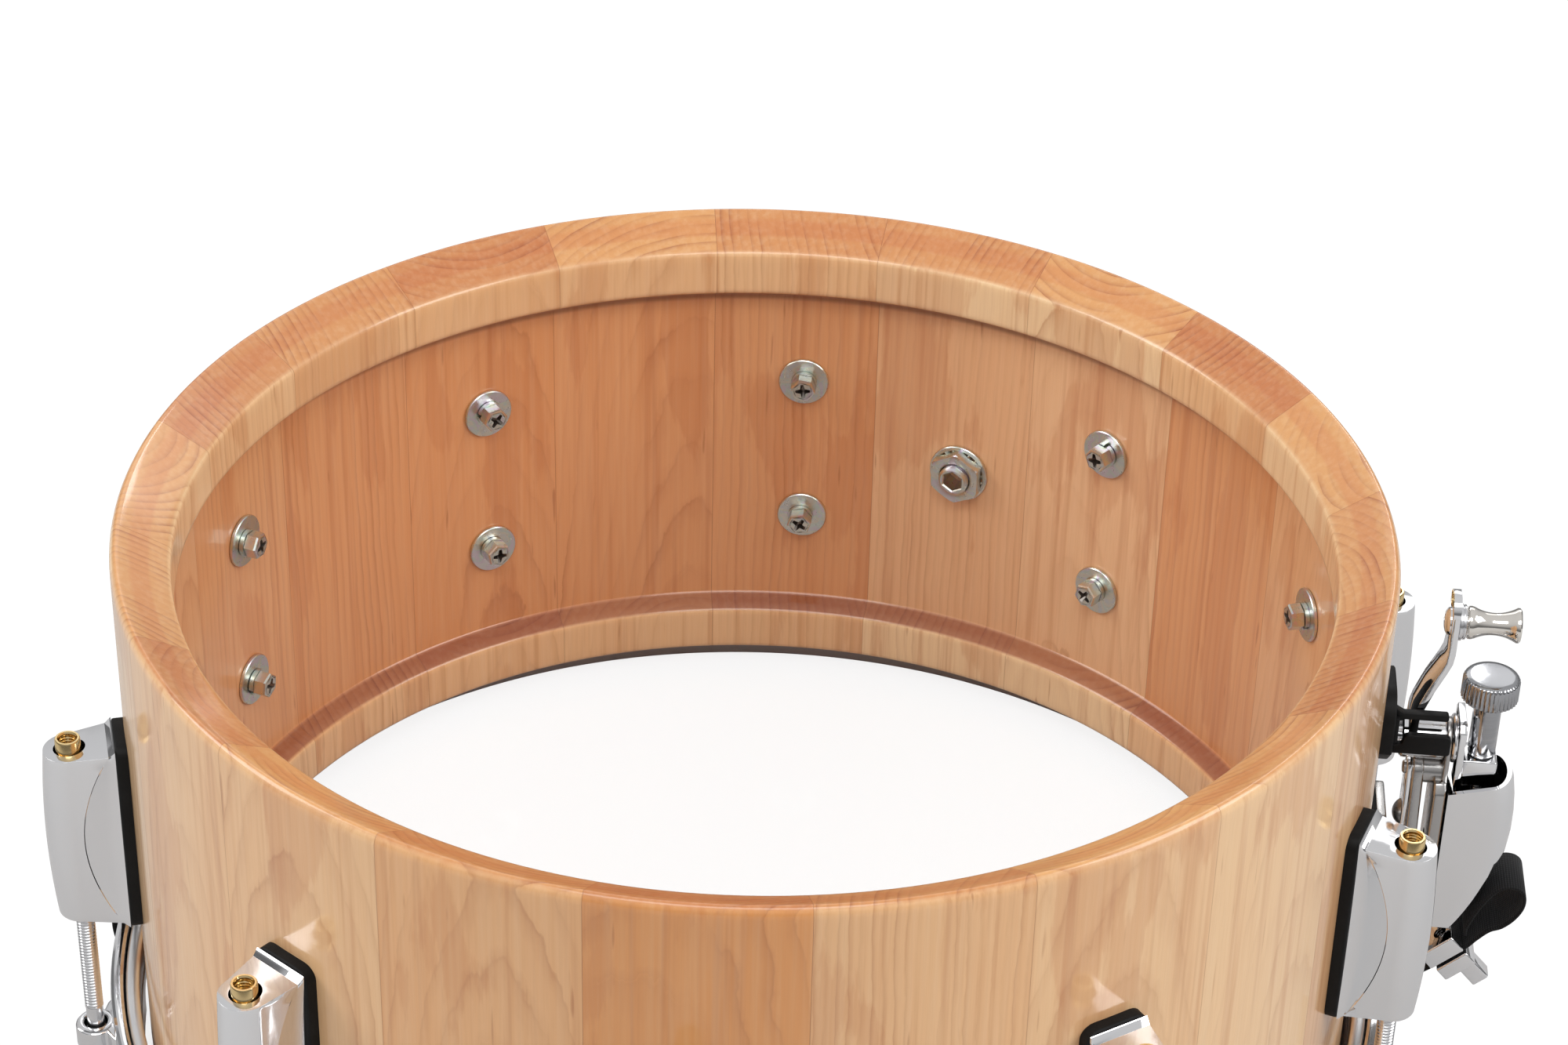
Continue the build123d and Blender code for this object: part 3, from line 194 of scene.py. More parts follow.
def maple():
    """Lacquered maple staves: growth rings run along Z round a heart of their own in each."""
    s = Shader("maple")
    x, y, z = s.split(s.coords)
    stave = radians(STAVE_TURN)
    turn = (s.math("ARCTAN2", y, x) - radians(STAVE_START)) / stave
    index = s.math("FLOOR", turn)
    across = turn - index - 0.5
    index = s.math("WRAP", index, STAVE_COUNT, 0)
    traits, hue = s.ramp((index + 0.5) / STAVE_COUNT,
                         [(k / STAVE_COUNT, v) for k, v in enumerate(STAVES)], "CONSTANT")
    tone, heart, depth = s.split(traits)
    radius = s.length(x, y)
    angle = across * stave
    t = radius * s.math("SINE", angle)
    b = radius * s.math("COSINE", angle) - BOARD_R
    offset = index * 0.71
    board = s.join(t + offset, b, z + offset)
    normal = s.split(Value(s, s.new("NewGeometry").outputs["Normal"]))
    end = s.step(s.math("ABSOLUTE", normal[2]), 0.5, 0.9)
    side = 1.0 - end
    # distance from the heart, wandering slowly along the grain and quicker across it
    turns = heart * (2 * pi)
    reach = s.mad(depth, 0.075, 0.014)
    lean = (z - 0.2) * 0.10
    away = s.length(t - s.math("COSINE", turns) * reach,
                    b - s.math("SINE", turns) * (reach + lean))
    slow = s.noise(board, (16, 16, 7)) - 0.5
    quick = (s.noise(board, (150, 150, 55), 3, 0.6) - 0.5) * s.mad(end, -0.75, 1.0)
    away = s.mad(quick, 0.0021, s.mad(slow, 0.0085, away)) / RING_GAP
    line = s.split(s.ramp(s.math("FRACT", away), [
        (place, (grey,) * 3) for place, grey in (
            (0.0, 0.35), (0.14, 0.0), (0.55, 0.12), (0.86, 0.62), (0.95, 1.0), (1.0, 0.4))]))[0]
    line = line * s.step(s.noise(board, (55, 55, 9)), 0.25, 0.65)
    year = s.join(s.math("FLOOR", away) * 5.7 + offset, offset, z * 5)
    line = line * s.mad(s.step(s.texture(year, 1, 0.5), 0.38, 0.62), 0.7, 0.3)
    # fibres, flecks and drifting tone
    fibre = s.noise(board, (2100, 2100, 55), 3, 0.6)
    fine = s.noise(board, (520, 520, 16))
    fleck = s.step(s.noise(board, (420, 420, 42), 1, 0.4), 0.73, 0.82)
    drift = s.noise(board, (24, 24, 5))
    streak = s.noise(board, (240, 240, 5), 3, 0.6)
    ragged = s.noise(board, (620, 620, 90), 2, 0.6)
    figure = s.step(s.mad(ragged, 0.10, s.noise(board, (42, 42, 10))), 0.60, 0.635)
    # paler on the end rings' inner faces: partly the wood's own lighter tone, partly a painted
    # highlight
    face_tone = hue * 0.75 + drift * 0.25 + s.fall(radius, 0.1645, 0.1655) * 0.3
    face = s.mix(s.math("ADD", face_tone, 0.05, clamp=True), linear(219, 139, 66),
                 linear(247, 213, 166))
    grain_end = s.mix(s.mad(drift, 0.3, tone * 0.8), linear(188, 110, 58),
                      linear(222, 166, 103))
    base = s.mix(end, face, grain_end)
    seam = s.fall((0.5 - s.math("ABSOLUTE", across)) * (radius * stave), 0.00003, 0.00022)
    dark = s.mix(end, linear(174, 102, 54), linear(154, 82, 38))
    for amount, colour in ((figure * side * 0.27, linear(196, 118, 62)),
                           (s.step(streak, 0.5, 0.72) * side * 0.38, linear(190, 116, 62)),
                           (line * s.mad(end, 0.4, 0.5), dark),
                           (s.step(fibre, 0.35, 0.75) * 0.10, linear(190, 130, 84)),
                           (s.step(fine, 0.35, 0.8) * 0.12, linear(246, 220, 182)),
                           (fleck * s.mad(end, -0.5, 0.5), linear(168, 100, 56)),
                           (seam * 0.35, linear(150, 88, 48))):
        base = s.mix(amount, base, colour)
    # painted shade: the wall inside is painted deeper in tone, and darker still in the corner
    # under the ring
    inner = s.step(radius, 0.1652, 0.1664) * s.fall(radius, 0.170, 0.172)
    base = s.mix(inner, base, (0.95, 0.84, 0.80), "MULTIPLY")
    # painted shade: a dark band in the corner under the ring
    low = TOP_Z * MM - z
    corner = s.step(low, 0.0250, 0.0258) * s.fall(low, 0.0266, 0.0284)
    base = s.mix(corner * inner * 0.6, base, linear(120, 66, 34))
    # painted shade: the ledge at the foot of the inside wall is darkened
    ledge_shade = end * s.fall(z, 0.045, 0.055)
    base = s.mix(ledge_shade, base, (0.58, 0.40, 0.33), "MULTIPLY")
    s.bump(s.mad(fibre + fine, 0.5, seam * -1.6), 0.00006, 0.35)
    return s.set(Base_Color=base, Roughness=s.mad(fibre, 0.12, 0.36), Coat_Weight=0.8,
                 Coat_Roughness=0.11, Specular_IOR_Level=0.4)


def metal(name, colour, rough, wave=0.00002, mottle=0.04, brushed=None):
    """Plated or bare metal with faint unevenness, and a brushed direction if one is given."""
    s = Shader(name)
    height = s.noise(s.coords, 230)
    cloud = s.noise(s.coords, 60, 3, 0.6)
    tint = s.mix(cloud * (mottle * 4), colour, tuple(c * 0.8 for c in colour))
    blur = s.mad(cloud, rough * 0.8, rough * 0.6)
    if brushed:
        lines = s.noise(s.coords, brushed, 2, 0.6)
        height = s.mad(lines, 1.5, height)
        blur = s.mad(lines, rough * 0.7, blur)
    s.bump(height, wave, 0.5)
    return s.set(Base_Color=tint, Metallic=1.0, Roughness=blur)


def turned():
    """Steel faced in a lathe: fine rings round the tension knob's axis."""
    s = Shader("turned_steel")
    x, y, z = s.split(s.coords)
    cuts = s.texture(s.join(s.length(x - SCREW_X * MM, y) * 5200, z * 900, 0.0), 3, 0.7)
    s.bump(cuts, 0.00002, 0.5)
    return s.set(Base_Color=s.mix(cuts, (0.31, 0.32, 0.33), (0.48, 0.48, 0.50)), Metallic=1.0,
                 Roughness=s.mad(s.noise(s.coords, 220), 0.08, 0.08))


def zinc():
    """Bright zinc plate with a faint rainbow bloom."""
    s = Shader("zinc_plate")
    fine = s.noise(s.coords, 900, 2, 0.6)
    colour = s.ramp(s.noise(s.coords, 150, distortion=1.5), [
        (0.30, (0.64, 0.67, 0.67)), (0.45, (0.72, 0.70, 0.60)), (0.52, (0.62, 0.71, 0.66)),
        (0.60, (0.69, 0.63, 0.70)), (0.72, (0.70, 0.71, 0.70))])
    s.bump(fine, 0.000003, 0.5)
    return s.set(Base_Color=colour, Metallic=1.0, Roughness=s.mad(fine, 0.10, 0.24))


def dark_soft(name, grey, rough, scale, distance):
    """Rubber or moulded plastic: near black with a fine pebbled skin; also the near-black painted
    shade in hollows.
    """
    s = Shader(name)
    grain = s.noise(s.coords, scale, 3, 0.6)
    dust = s.step(s.noise(s.coords, 90), 0.45, 0.75)
    s.bump(grain, distance, 0.6)
    return s.set(Base_Color=s.mix(dust, (grey,) * 3, (grey * 1.6 + 0.002,) * 3),
                 Roughness=s.mad(grain, 0.25, rough), Specular_IOR_Level=0.2)


def webbing():
    """Black woven ribbon, with ribs across it and a thread's sheen."""
    s = Shader("webbing")
    place = s.new("Attribute")
    place.attribute_name = "ribbon"
    along, wide, _ = s.split(Value(s, place.outputs["Vector"]))
    rib = s.math("SINE", along * (2 * pi / 0.72))
    yarn = s.math("SINE", wide * (2 * pi / 0.9))
    weave = s.mad(rib, 0.5, 0.5) * s.mad(yarn, 0.3, 0.7)
    s.bump(s.mad(s.noise(s.coords, 2600, 2, 0.6), 0.35, weave), 0.0002, 0.8)
    return s.set(Base_Color=s.mix(weave, (0.002,) * 3, (0.014, 0.014, 0.016)), Roughness=0.7,
                 Specular_IOR_Level=0.2, Sheen_Weight=0.06, Sheen_Roughness=0.5)


def film():
    """Clear drum-head film."""
    s = Shader("clear_film")
    ripple = s.noise(s.coords, 14)
    s.bump(ripple, 0.0004, 0.2)
    s.mat.surface_render_method = "BLENDED"
    return s.set(Base_Color=s.mix(ripple, (0.90, 0.92, 0.93), (0.97, 0.98, 0.98)),
                 Roughness=0.06, Alpha=0.10)


MAPLE = maple()
CHROME = metal("chrome", (0.83, 0.83, 0.84), 0.055)
HOOP_CHROME = metal("hoop_chrome", (0.80, 0.80, 0.81), 0.08, 0.00004)
CAST = metal("cast_metal", (0.46, 0.45, 0.44), 0.26, 0.00012, 0.12)
NICKEL = metal("nickel", (0.84, 0.80, 0.74), 0.08)
SATIN = metal("satin_steel", (0.76, 0.76, 0.77), 0.15, 0.00001, 0.05, (300, 300, 2500))
ALUMINIUM = metal("aluminium", (0.86, 0.86, 0.86), 0.24, 0.00002, 0.05, (900, 900, 5000))
BRASS = metal("brass", (0.80, 0.60, 0.30), 0.17, 0.00002, 0.16)
WIRE = metal("snare_wire", (0.72, 0.72, 0.73), 0.16)
ZINC = zinc()
TURNED = turned()
# painted shade: the cross recess in each bolt head is dark grey metal
RECESS_SHADE = metal("bolt_recess_shade", (0.20, 0.18, 0.16), 0.35)
RUBBER = dark_soft("rubber", 0.004, 0.42, 1500, 0.00004)
PLASTIC = dark_soft("black_plastic", 0.004, 0.36, 700, 0.00003)
# painted shade: near black for the hollow inside the sliding housing
SHADE = dark_soft("painted_shade_inside", 0.006, 0.5, 500, 0.00004)
WEB = webbing()
FILM = film()


# ---- mesh building ----
def add_object(name, data):
    obj = bpy.data.objects.new(name, data)
    scene.collection.objects.link(obj)
    return obj


def make(name, bm, material, sharp=32, crease=None):
    """A mesh object from a bmesh in millimetres, smooth except at edges sharper than sharp."""
    bmesh.ops.remove_doubles(bm, verts=bm.verts, dist=1e-5)
    bmesh.ops.recalc_face_normals(bm, faces=bm.faces)
    limit = radians(sharp)
    for edge in bm.edges:
        edge.smooth = len(edge.link_faces) == 2 and edge.calc_face_angle(0) < limit
        if crease and all(crease(v.co) for v in edge.verts):
            edge.smooth = False
    bmesh.ops.scale(bm, vec=(MM, MM, MM), verts=bm.verts)
    for face in bm.faces:
        face.smooth = True
    mesh = bpy.data.meshes.new(name)
    bm.to_mesh(mesh)
    bm.free()
    mesh.materials.append(material)
    return add_object(name, mesh)


def row(bm, points, m=Matrix()):
    """Vertices at points, moved by a matrix."""
    return [bm.verts.new(m @ Vector(p)) for p in points]


def polar(r, angle):
    """The X and Y of a point at a radius and an angle in degrees."""
    return r * cos(radians(angle)), r * sin(radians(angle))


def flat(points, z):
    """Plane points, all at one height."""
    return [(x, y, z) for x, y in points]


def bridge(bm, rows):
    """Four-sided faces between neighbouring closed rows of vertices."""
    count = len(rows[0])
    for one, two in zip(rows, rows[1:]):
        for j in range(count):
            k = (j + 1) % count
            bm.faces.new((one[j], one[k], two[k], two[j]))


def cap(bm, rows):
    """Closes the two ends of a bridged tube."""
    bm.faces.new(rows[0])
    bm.faces.new(list(reversed(rows[-1])))


def lathe(bm, profile, segments, m=Matrix(), closed=False, start=0, sweep=360):
    """Turns (radius, height) points round Z."""
    full = abs(sweep - 360) < 1e-6
    rings = []
    for i in range(segments if full else segments + 1):
        angle = start + sweep * i / segments
        rings.append(row(bm, [(*polar(r, angle), z) for r, z in profile], m))
    count = len(profile)
    for i in range(segments):
        one, two = rings[i], rings[(i + 1) % len(rings)]
        for j in range(count if closed else count - 1):
            k = (j + 1) % count
            corners = [one[j], two[j], two[k], one[k]]
            if profile[j][0] < 1e-6:
                corners = [one[j], two[k], one[k]]
            elif profile[k][0] < 1e-6:
                corners = [one[j], two[j], one[k]]
            bm.faces.new(corners)
    if not full and closed:
        cap(bm, rings)


def prism(bm, outline, low, high, bevel=0.3, segments=2, m=Matrix()):
    """A flat outline given thickness along Z, with its edges rounded."""
    part = bmesh.new()
    face = part.faces.new(row(part, flat(outline, low)))
    top = bmesh.ops.extrude_face_region(part, geom=[face])["geom"]
    for v in top:
        if isinstance(v, bmesh.types.BMVert):
            v.co.z = high
    bmesh.ops.recalc_face_normals(part, faces=part.faces)
    if bevel:
        round_edges(part, [e for e in part.edges if e.calc_face_angle(0) > radians(20)],
                    bevel, segments)
    merge(bm, part, m)


def round_edges(bm, edges, size, segments):
    bmesh.ops.bevel(bm, geom=edges, offset=size, segments=segments, profile=0.5,
                    affect="EDGES", clamp_overlap=True)


def merge(bm, part, m=Matrix()):
    """Adds one bmesh to another."""
    bmesh.ops.transform(part, matrix=m, verts=part.verts)
    mesh = bpy.data.meshes.new("part")
    part.to_mesh(mesh)
    part.free()
    bm.from_mesh(mesh)
    bpy.data.meshes.remove(mesh)


def circle(radius, count=32, x=0.0, y=0.0, start=0.0, sweep=360.0, sx=1.0):
    """Points on a circle or arc."""
    steps = count if abs(sweep - 360) < 1e-6 else count - 1
    points = [polar(radius, start + sweep * i / steps) for i in range(count)]
    return [(x + sx * px, y + py) for px, py in points]


def rounded_rect(width, height, radius, x=0.0, y=0.0, count=7):
    points = []
    for sx, sy, start in ((1, 1, 0), (-1, 1, 90), (-1, -1, 180), (1, -1, 270)):
        points += circle(radius, count, x + sx * (width / 2 - radius),
                         y + sy * (height / 2 - radius), start, 90)
    return points


def thread_ring(radius, z, pitch, depth, columns):
    """One ring of a helical thread, its radius following the helix at height z."""
    ring = []
    for i in range(columns):
        phase = (z / pitch - i / columns) % 1.0
        r = radius - depth * (1 - abs(2 * phase - 1))
        ring.append((*polar(r, 360 * i / columns), z))
    return ring


def thread(bm, radius, pitch, low, high, depth, m=Matrix(), columns=28):
    """A helical thread that fades at both ends; a negative depth cuts outwards, in a bore."""
    rows_per_turn = 8
    count = max(2, int((high - low) / pitch * rows_per_turn))
    rows = []
    for j in range(count + 1):
        z = low + (high - low) * j / count
        fade = max(0.0, min(1.0, (z - low) / pitch, (high - z) / pitch))
        rows.append(row(bm, thread_ring(radius, z, pitch, depth * fade, columns), m))
    bridge(bm, rows)


def cut(bm, cutter):
    """Takes one bmesh out of another, and returns what is left."""
    obj, tool = make("cut", bm, SHADE), make("cutter", cutter, SHADE)
    mod = obj.modifiers.new("cut", "BOOLEAN")
    mod.operation, mod.solver, mod.object = "DIFFERENCE", "EXACT", tool
    bpy.context.view_layer.update()
    graph = bpy.context.evaluated_depsgraph_get()
    bm = bmesh.new()
    bm.from_mesh(bpy.data.meshes.new_from_object(obj.evaluated_get(graph)))
    bmesh.ops.scale(bm, vec=(1 / MM,) * 3, verts=bm.verts)
    bpy.data.objects.remove(obj)
    bpy.data.objects.remove(tool)
    return bm


def spin(angle, axis="Z"):
    return Matrix.Rotation(radians(angle), 4, axis)


def shift(x, y, z):
    return Matrix.Translation((x, y, z))


def along_x(y=0, z=0, x=0):
    """Local Z is the drum's X, and local Y its Z."""
    return Matrix(((0, 0, 1, x), (1, 0, 0, y), (0, 1, 0, z), (0, 0, 0, 1)))


def outward(angle, radius, height):
    """Local Z points away from the drum's axis, local Y points up."""
    return spin(angle) @ along_x(0, height, radius)


def inward(angle, radius, height):
    """Local Z points at the drum's axis, local Y points up."""
    return spin(angle + 180) @ along_x(0, height, -radius)


# local X is the drum's X, local Y is its Z, and local Z is its -Y
SIDE_PLANE = Matrix(((1, 0, 0, 0), (0, 0, -1, 0), (0, 1, 0, 0), (0, 0, 0, 1)))


def piece(obj, body, slot, *nodes):
    """Puts a finished piece on its CAD body in place of the named CAD nodes."""
    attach(obj, body)
    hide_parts(*nodes)
    return obj


def fit(name, bm, material, slot, node, body="drum", sharp=32):
    """Finishes a bmesh as a piece."""
    return piece(make(name, bm, material, sharp), body, slot, node)


# ---- staves ----
def stave_end(side):
    """One end of a stave's section, from the outer wall round to the inner wall."""
    end = TOP_Z if side > 0 else HEAD_Z
    rise = [(176.2, -6.0), (176.2, -3.3), (176.12, -2.3), (175.9, -1.5), (175.55, -0.8),
            (175.1, -0.28), (174.75, -0.06), (174.4, 0.0), (174.0, -0.1), (173.4, -0.38)]
    slope = [(173.4 - 11.0 * t / 8, -0.38 - 6.36 * t / 8) for t in range(1, 8)]
    fall = [(162.4, -6.74), (161.4, -7.36), (160.7, -7.9), (160.3, -8.5), (160.1, -9.4),
            (160.1, -12.0), (160.1, -16.0), (160.1, -20.4), (160.16, -21.5), (160.5, -22.2),
            (161.1, -22.75), (163.5, -24.2), (165.4, -25.3), (166.1, -25.75), (166.42, -26.2),
            (166.5, -27.0)]
    return [(r, end + side * z) for r, z in rise + slope + fall]


SEAM = 0.004  # degrees left open on each side of a stave
profile = stave_end(1) + [(WALL_R, z) for z in range(140, 34, -6)]
profile += list(reversed(stave_end(-1))) + [(SHELL_R, z) for z in range(20, 166, 6)]
bm = bmesh.new()
for i in range(STAVE_COUNT):
    lathe(bm, profile, 10, Matrix(), True, STAVE_START + STAVE_TURN * i + SEAM,
          STAVE_TURN - 2 * SEAM)
fit("stave_wall", bm, MAPLE, "maple", "stave_shell", sharp=24)

# ---- bolts and washers inside ----
random.seed(4)
BOLT_SEAT = sqrt(WALL_R**2 - 8**2)
FLAT_THICK, LOCK_THICK = 1.2, 1.6


def washer_ring(bm, outer, inner, thick, m):
    """A flat washer with rounded edges."""
    e = 0.25
    lathe(bm, [(inner, 0), (outer - e, 0), (outer, e), (outer, thick - e), (outer - e, thick),
               (inner + e, thick), (inner, thick - e)], 56, m, closed=True)


def split_ring(bm, outer, inner, thick, m, turn):
    """A spring washer: a ring with a slanted cut, its ends slightly apart."""
    steps, gap, rise, edge = 44, 16, 0.22, 0.15
    rows = []
    for i in range(steps + 1):
        angle = turn + gap / 2 + (360 - gap) * i / steps
        lift = rise * (i / steps - 0.5)
        rows.append(row(bm, [(*polar(r, angle), z + lift) for r, z in (
            (inner, edge), (outer, edge), (outer, thick - edge), (inner, thick - edge))], m))
    bridge(bm, rows)
    cap(bm, rows)


def bolt_head(bm, m, turn):
    """Hexagon head with chamfered corners and a cross recess."""
    part = bmesh.new()
    half, top = 3.5, 3.95
    corner = half / cos(radians(30))
    rows = [row(part, flat(circle(r, 6), z)) for z, r in (
        (0.0, corner), (3.2, corner), (3.75, corner * 0.93), (top, half * 0.92))]
    bridge(part, rows)
    part.faces.new(list(reversed(rows[0])))
    # the top, with a cross pressed into it
    rim = row(part, flat(circle(2.9, 24), top))
    cross = []
    for q in range(4):
        a = radians(90 * q + 45)
        cross += [(x * cos(a) - y * sin(a), x * sin(a) + y * cos(a))
                  for x, y in ((2.4, -0.48), (2.4, 0.48), (0.8, 0.8))]
    edge = row(part, flat(cross, top))
    pit = row(part, [(x * 0.45, y * 0.45, 2.2) for x, y in cross])
    outer = rows[-1]
    for j in range(6):
        fan = [rim[(4 * j + i) % 24] for i in range(5)]
        part.faces.new([outer[j], outer[(j + 1) % 6]] + list(reversed(fan)))
    # painted shade: the recess's walls and floor take the dark second material
    for j in range(12):
        k = (j + 1) % 12
        part.faces.new((edge[j], edge[k], pit[k], pit[j])).material_index = 1
    part.faces.new(pit).material_index = 1
    for q in range(4):
        a, start = 3 * q, 6 * q + 3
        ring = [rim[(start + i) % 24] for i in range(7)]
        part.faces.new([edge[a + 1]] + ring + [edge[(a + 3) % 12], edge[a + 2]])
        part.faces.new([edge[a], rim[start % 24], edge[a + 1]])
    merge(bm, part, m @ spin(turn))


def bolt(angle, height, meshes, turns, shank, wobble=(0, 0)):
    """A bolt from inside, with its spring washer and its flat washer."""
    bm_flat, bm_lock, bm_bolt = meshes
    seat = inward(angle, BOLT_SEAT, height)
    washer_ring(bm_flat, 8.0, 2.6, FLAT_THICK, seat @ shift(*wobble, 0))
    split_ring(bm_lock, 4.2, 2.6, LOCK_THICK, seat @ shift(0, 0, FLAT_THICK), turns[0])
    head = seat @ shift(0, 0, FLAT_THICK + LOCK_THICK)
    bolt_head(bm_bolt, head, turns[1])
    lathe(bm_bolt, [(0, 0.1), (2.4, 0.1)] + shank, 24, head)


def bolt_set(name, bm, node):
    bolts = make(name, bm, ZINC, 24)
    bolts.data.materials.append(RECESS_SHADE)
    piece(bolts, "drum", "zinc_steel", node)


meshes = bmesh.new(), bmesh.new(), bmesh.new()
for angle in LUG_ANGLES:
    for height in BOLT_HEIGHTS:
        wobble = (random.uniform(-0.6, 0.6), random.uniform(-0.6, 0.6))
        turns = (random.uniform(0, 360), random.uniform(0, 60))
        bolt(angle, height, meshes, turns, [(2.4, -20.2), (2.0, -20.6), (0, -20.6)], wobble)
fit("flat_washer_set", meshes[0], ZINC, "zinc_steel", "lug_flat_washers")
fit("spring_washer_set", meshes[1], ZINC, "zinc_steel", "lug_lock_washers")
bolt_set("hex_bolt_set", meshes[2], "lug_bolts")

# ---- vent ----
VENT = 72.0
vent_seat = inward(VENT, sqrt(WALL_R**2 - 9.3**2), MID_Z)
bm = bmesh.new()
lathe(bm, [(8.3, 0.05), (9.6, 0.05), (9.8, 0.25), (9.8, 0.9), (9.6, 1.1), (8.5, 1.1), (8.3, 0.9)],
      72, vent_seat, True)
for i in range(18):
    prism(bm, [(-1.4, -0.7), (1.2, -0.9), (1.2, 0.9), (-1.4, 0.7)], 0.1, 0.7, 0.12, 1,
          vent_seat @ spin(i * 20 + 4) @ shift(7.4, 0, 0) @ spin(24, "X"))
fit("tooth_washer", bm, ZINC, "zinc_steel", "vent_tooth_washer")


def hexagon(half, count, limit=99.0):
    """Points round a hexagon given by half its width over flats, its corners kept in a limit."""
    points = []
    for i in range(count):
        a = 360 * i / count
        r = half / cos(radians((a + 30) % 60 - 30))
        points.append(polar(min(r, limit), a))
    return points


bm = bmesh.new()
rings = [(hexagon(7.8, 72, limit), z) for z, limit in (
    (0.0, 8.3), (0.5, 9.0), (3.7, 9.0), (4.1, 8.5), (4.2, 8.0))]
rings += [(circle(r, 72), z) for z, r in ((4.2, 6.0), (3.9, 5.25), (0.0, 5.1))]
bridge(bm, [row(bm, flat(points, z + 0.8), vent_seat) for points, z in rings])
fit("vent_hex_nut", bm, ZINC, "zinc_steel", "vent_nut", sharp=25)


def vent_bore(scale, z):
    return [(x * scale, y * scale, z) for x, y in hexagon(3.0, 48)]


rings = [flat(circle(r, 48), z) for z, r in (
    (-1.6, 8.9), (-1.3, 9.7), (-0.7, 9.97), (0.0, 9.9), (0.0, 5.0), (10.2, 5.0))]
rings += [thread_ring(5.0, 10.2 + 5.9 * j / 27, 1.0, 0.32, 48) for j in range(28)]
rings += [flat(circle(r, 48), z) for z, r in ((16.3, 4.6), (16.6, 4.1))]
rings += [vent_bore(1.12, 16.6), vent_bore(1, 16.2), vent_bore(1, -1.5), vent_bore(1.1, -1.6)]
bm = bmesh.new()
rows = [row(bm, points, inward(VENT, SHELL_R, MID_Z)) for points in rings]
bridge(bm, rows + rows[:1])
fit("vent_tube", bm, ZINC, "zinc_steel", "vent_stud", sharp=25)

# ---- lugs ----
STEP_X, FACE_X = 181.2, 179.4
NOSE_R = 6.9
BASE_HALF, HOLLOW = 8.6, 0.3
LUG_PROFILE = [(FACE_X, 30.2), (STEP_X, 28.6), (ROD_R, 27.6), (206.0, 27.3)]


def lug_top(x):
    """Half height of the casing at a distance from the drum's axis."""
    for (x0, z0), (x1, z1) in zip(LUG_PROFILE, LUG_PROFILE[1:]):
        if x <= x1:
            return z0 + (z1 - z0) * (x - x0) / (x1 - x0)
    return LUG_PROFILE[-1][1]


def lug_half(x):
    """Half width of the casing's sides, which close towards the nose."""
    return BASE_HALF + (NOSE_R - BASE_HALF) * (x - FACE_X) / (ROD_R - FACE_X)


def scoop_edge(v):
    """How far out the lens-shaped scoop reaches, v running from -1 to 1 up the casing."""
    return STEP_X + 0.05 + 8.3 * (1 - v * v)


def scooped(v):
    """Is a point on the edge of a scoop?"""
    if not STEP_X < v.x < ROD_R or abs(v.z) > 28:
        return False
    reach, near = scoop_edge(v.z / lug_top(v.x)), 0.03
    return abs(v.x - reach) < near and abs(abs(v.y) - lug_half(reach)) < near


def lug_outline(v):
    """The casing's section at v, from one side of its base round the nose to the other."""
    reach, swell = scoop_edge(v), 1.4 * (1 - v * v)
    hollow = lug_half(reach) - HOLLOW * (1 - v**4)
    side = [(FACE_X, min(hollow + 0.55, lug_half(FACE_X))), (STEP_X, hollow)]
    side += [(STEP_X + (reach - STEP_X) * t, hollow) for t in (0.3, 0.6, 0.85, 1.0)]
    outer = [reach + 0.25] + [reach + (ROD_R - reach) * t for t in (0.4, 0.75, 1.0)]
    side += [(x, lug_half(x)) for x in outer]
    nose = circle(NOSE_R, 31, ROD_R, 0, 90, -180)[1:-1]
    return (side + [(x + swell * ((x - ROD_R) / NOSE_R) ** 1.5, y) for x, y in nose]
            + [(x, -y) for x, y in reversed(side)])


def lug_casing():
    """Die-cast casing: D plan, bevelled step at the base, and a lens-shaped scoop each side."""
    bm = bmesh.new()
    tall = 36
    heights = [-1 + 2 * j / tall for j in range(tall + 1)]
    rows = [row(bm, [(x, y, v * lug_top(x)) for x, y in lug_outline(v)]) for v in heights]
    bridge(bm, rows)
    for line in (rows[-1], rows[0]):
        last = len(line) - 1
        for a in range(last // 2):
            corners = [line[a], line[a + 1], line[last - a - 1], line[last - a]]
            bm.faces.new(list(dict.fromkeys(corners)))
    bmesh.ops.recalc_face_normals(bm, faces=bm.faces)
    rim = [e for e in bm.edges if len(e.link_faces) == 2 and e.calc_face_angle(0) > 1.0
           and min(v.co.x for v in e.verts) > FACE_X + 0.05
           and min(abs(v.co.z) for v in e.verts) > 24]
    round_edges(bm, rim, 0.75, 4)
    holes = bmesh.new()
    for low, high in ((12, 60), (-60, -12)):
        prism(holes, circle(4.2, 40, ROD_R - 0.25, 0, sx=1.05), low, high, 0)
    return make("lug_body", cut(bm, holes), CHROME, 30, scooped)


def fit_to_shell(bm, limit, gap):
    """Bends the points nearer the axis than a limit on to the shell's outer wall."""
    for v in bm.verts:
        if v.co.x < limit:
            v.co.x = sqrt(SHELL_R**2 - v.co.y**2) + gap


def gasket_mesh(width, height, face, corner, middle=0.0):
    bm = bmesh.new()
    sunk = 2.0
    prism(bm, rounded_rect(width, height, corner), 0, face - SHELL_R + sunk, 0.7, 3,
          outward(0, SHELL_R - sunk, middle))
    fit_to_shell(bm, SHELL_R - 0.2, 0.01)
    return bm


def swivel_nut():
    """Brass nut with an inside thread, standing out of each end of the casing."""
    bm = bmesh.new()
    for side, end in ((1, 31.05), (-1, 28.6)):
        m = shift(ROD_R, 0, 0) @ Matrix.Scale(side, 4, (0, 0, 1))
        lathe(bm, [(2.75, 8.0), (3.5, 8.0), (3.5, end - 0.35), (3.25, end), (2.75, end),
                   (2.45, end - 0.5)], 40, m)
        thread(bm, 2.45, 0.94, 14.0, end - 0.5, -0.32, m, 36)
    return bm


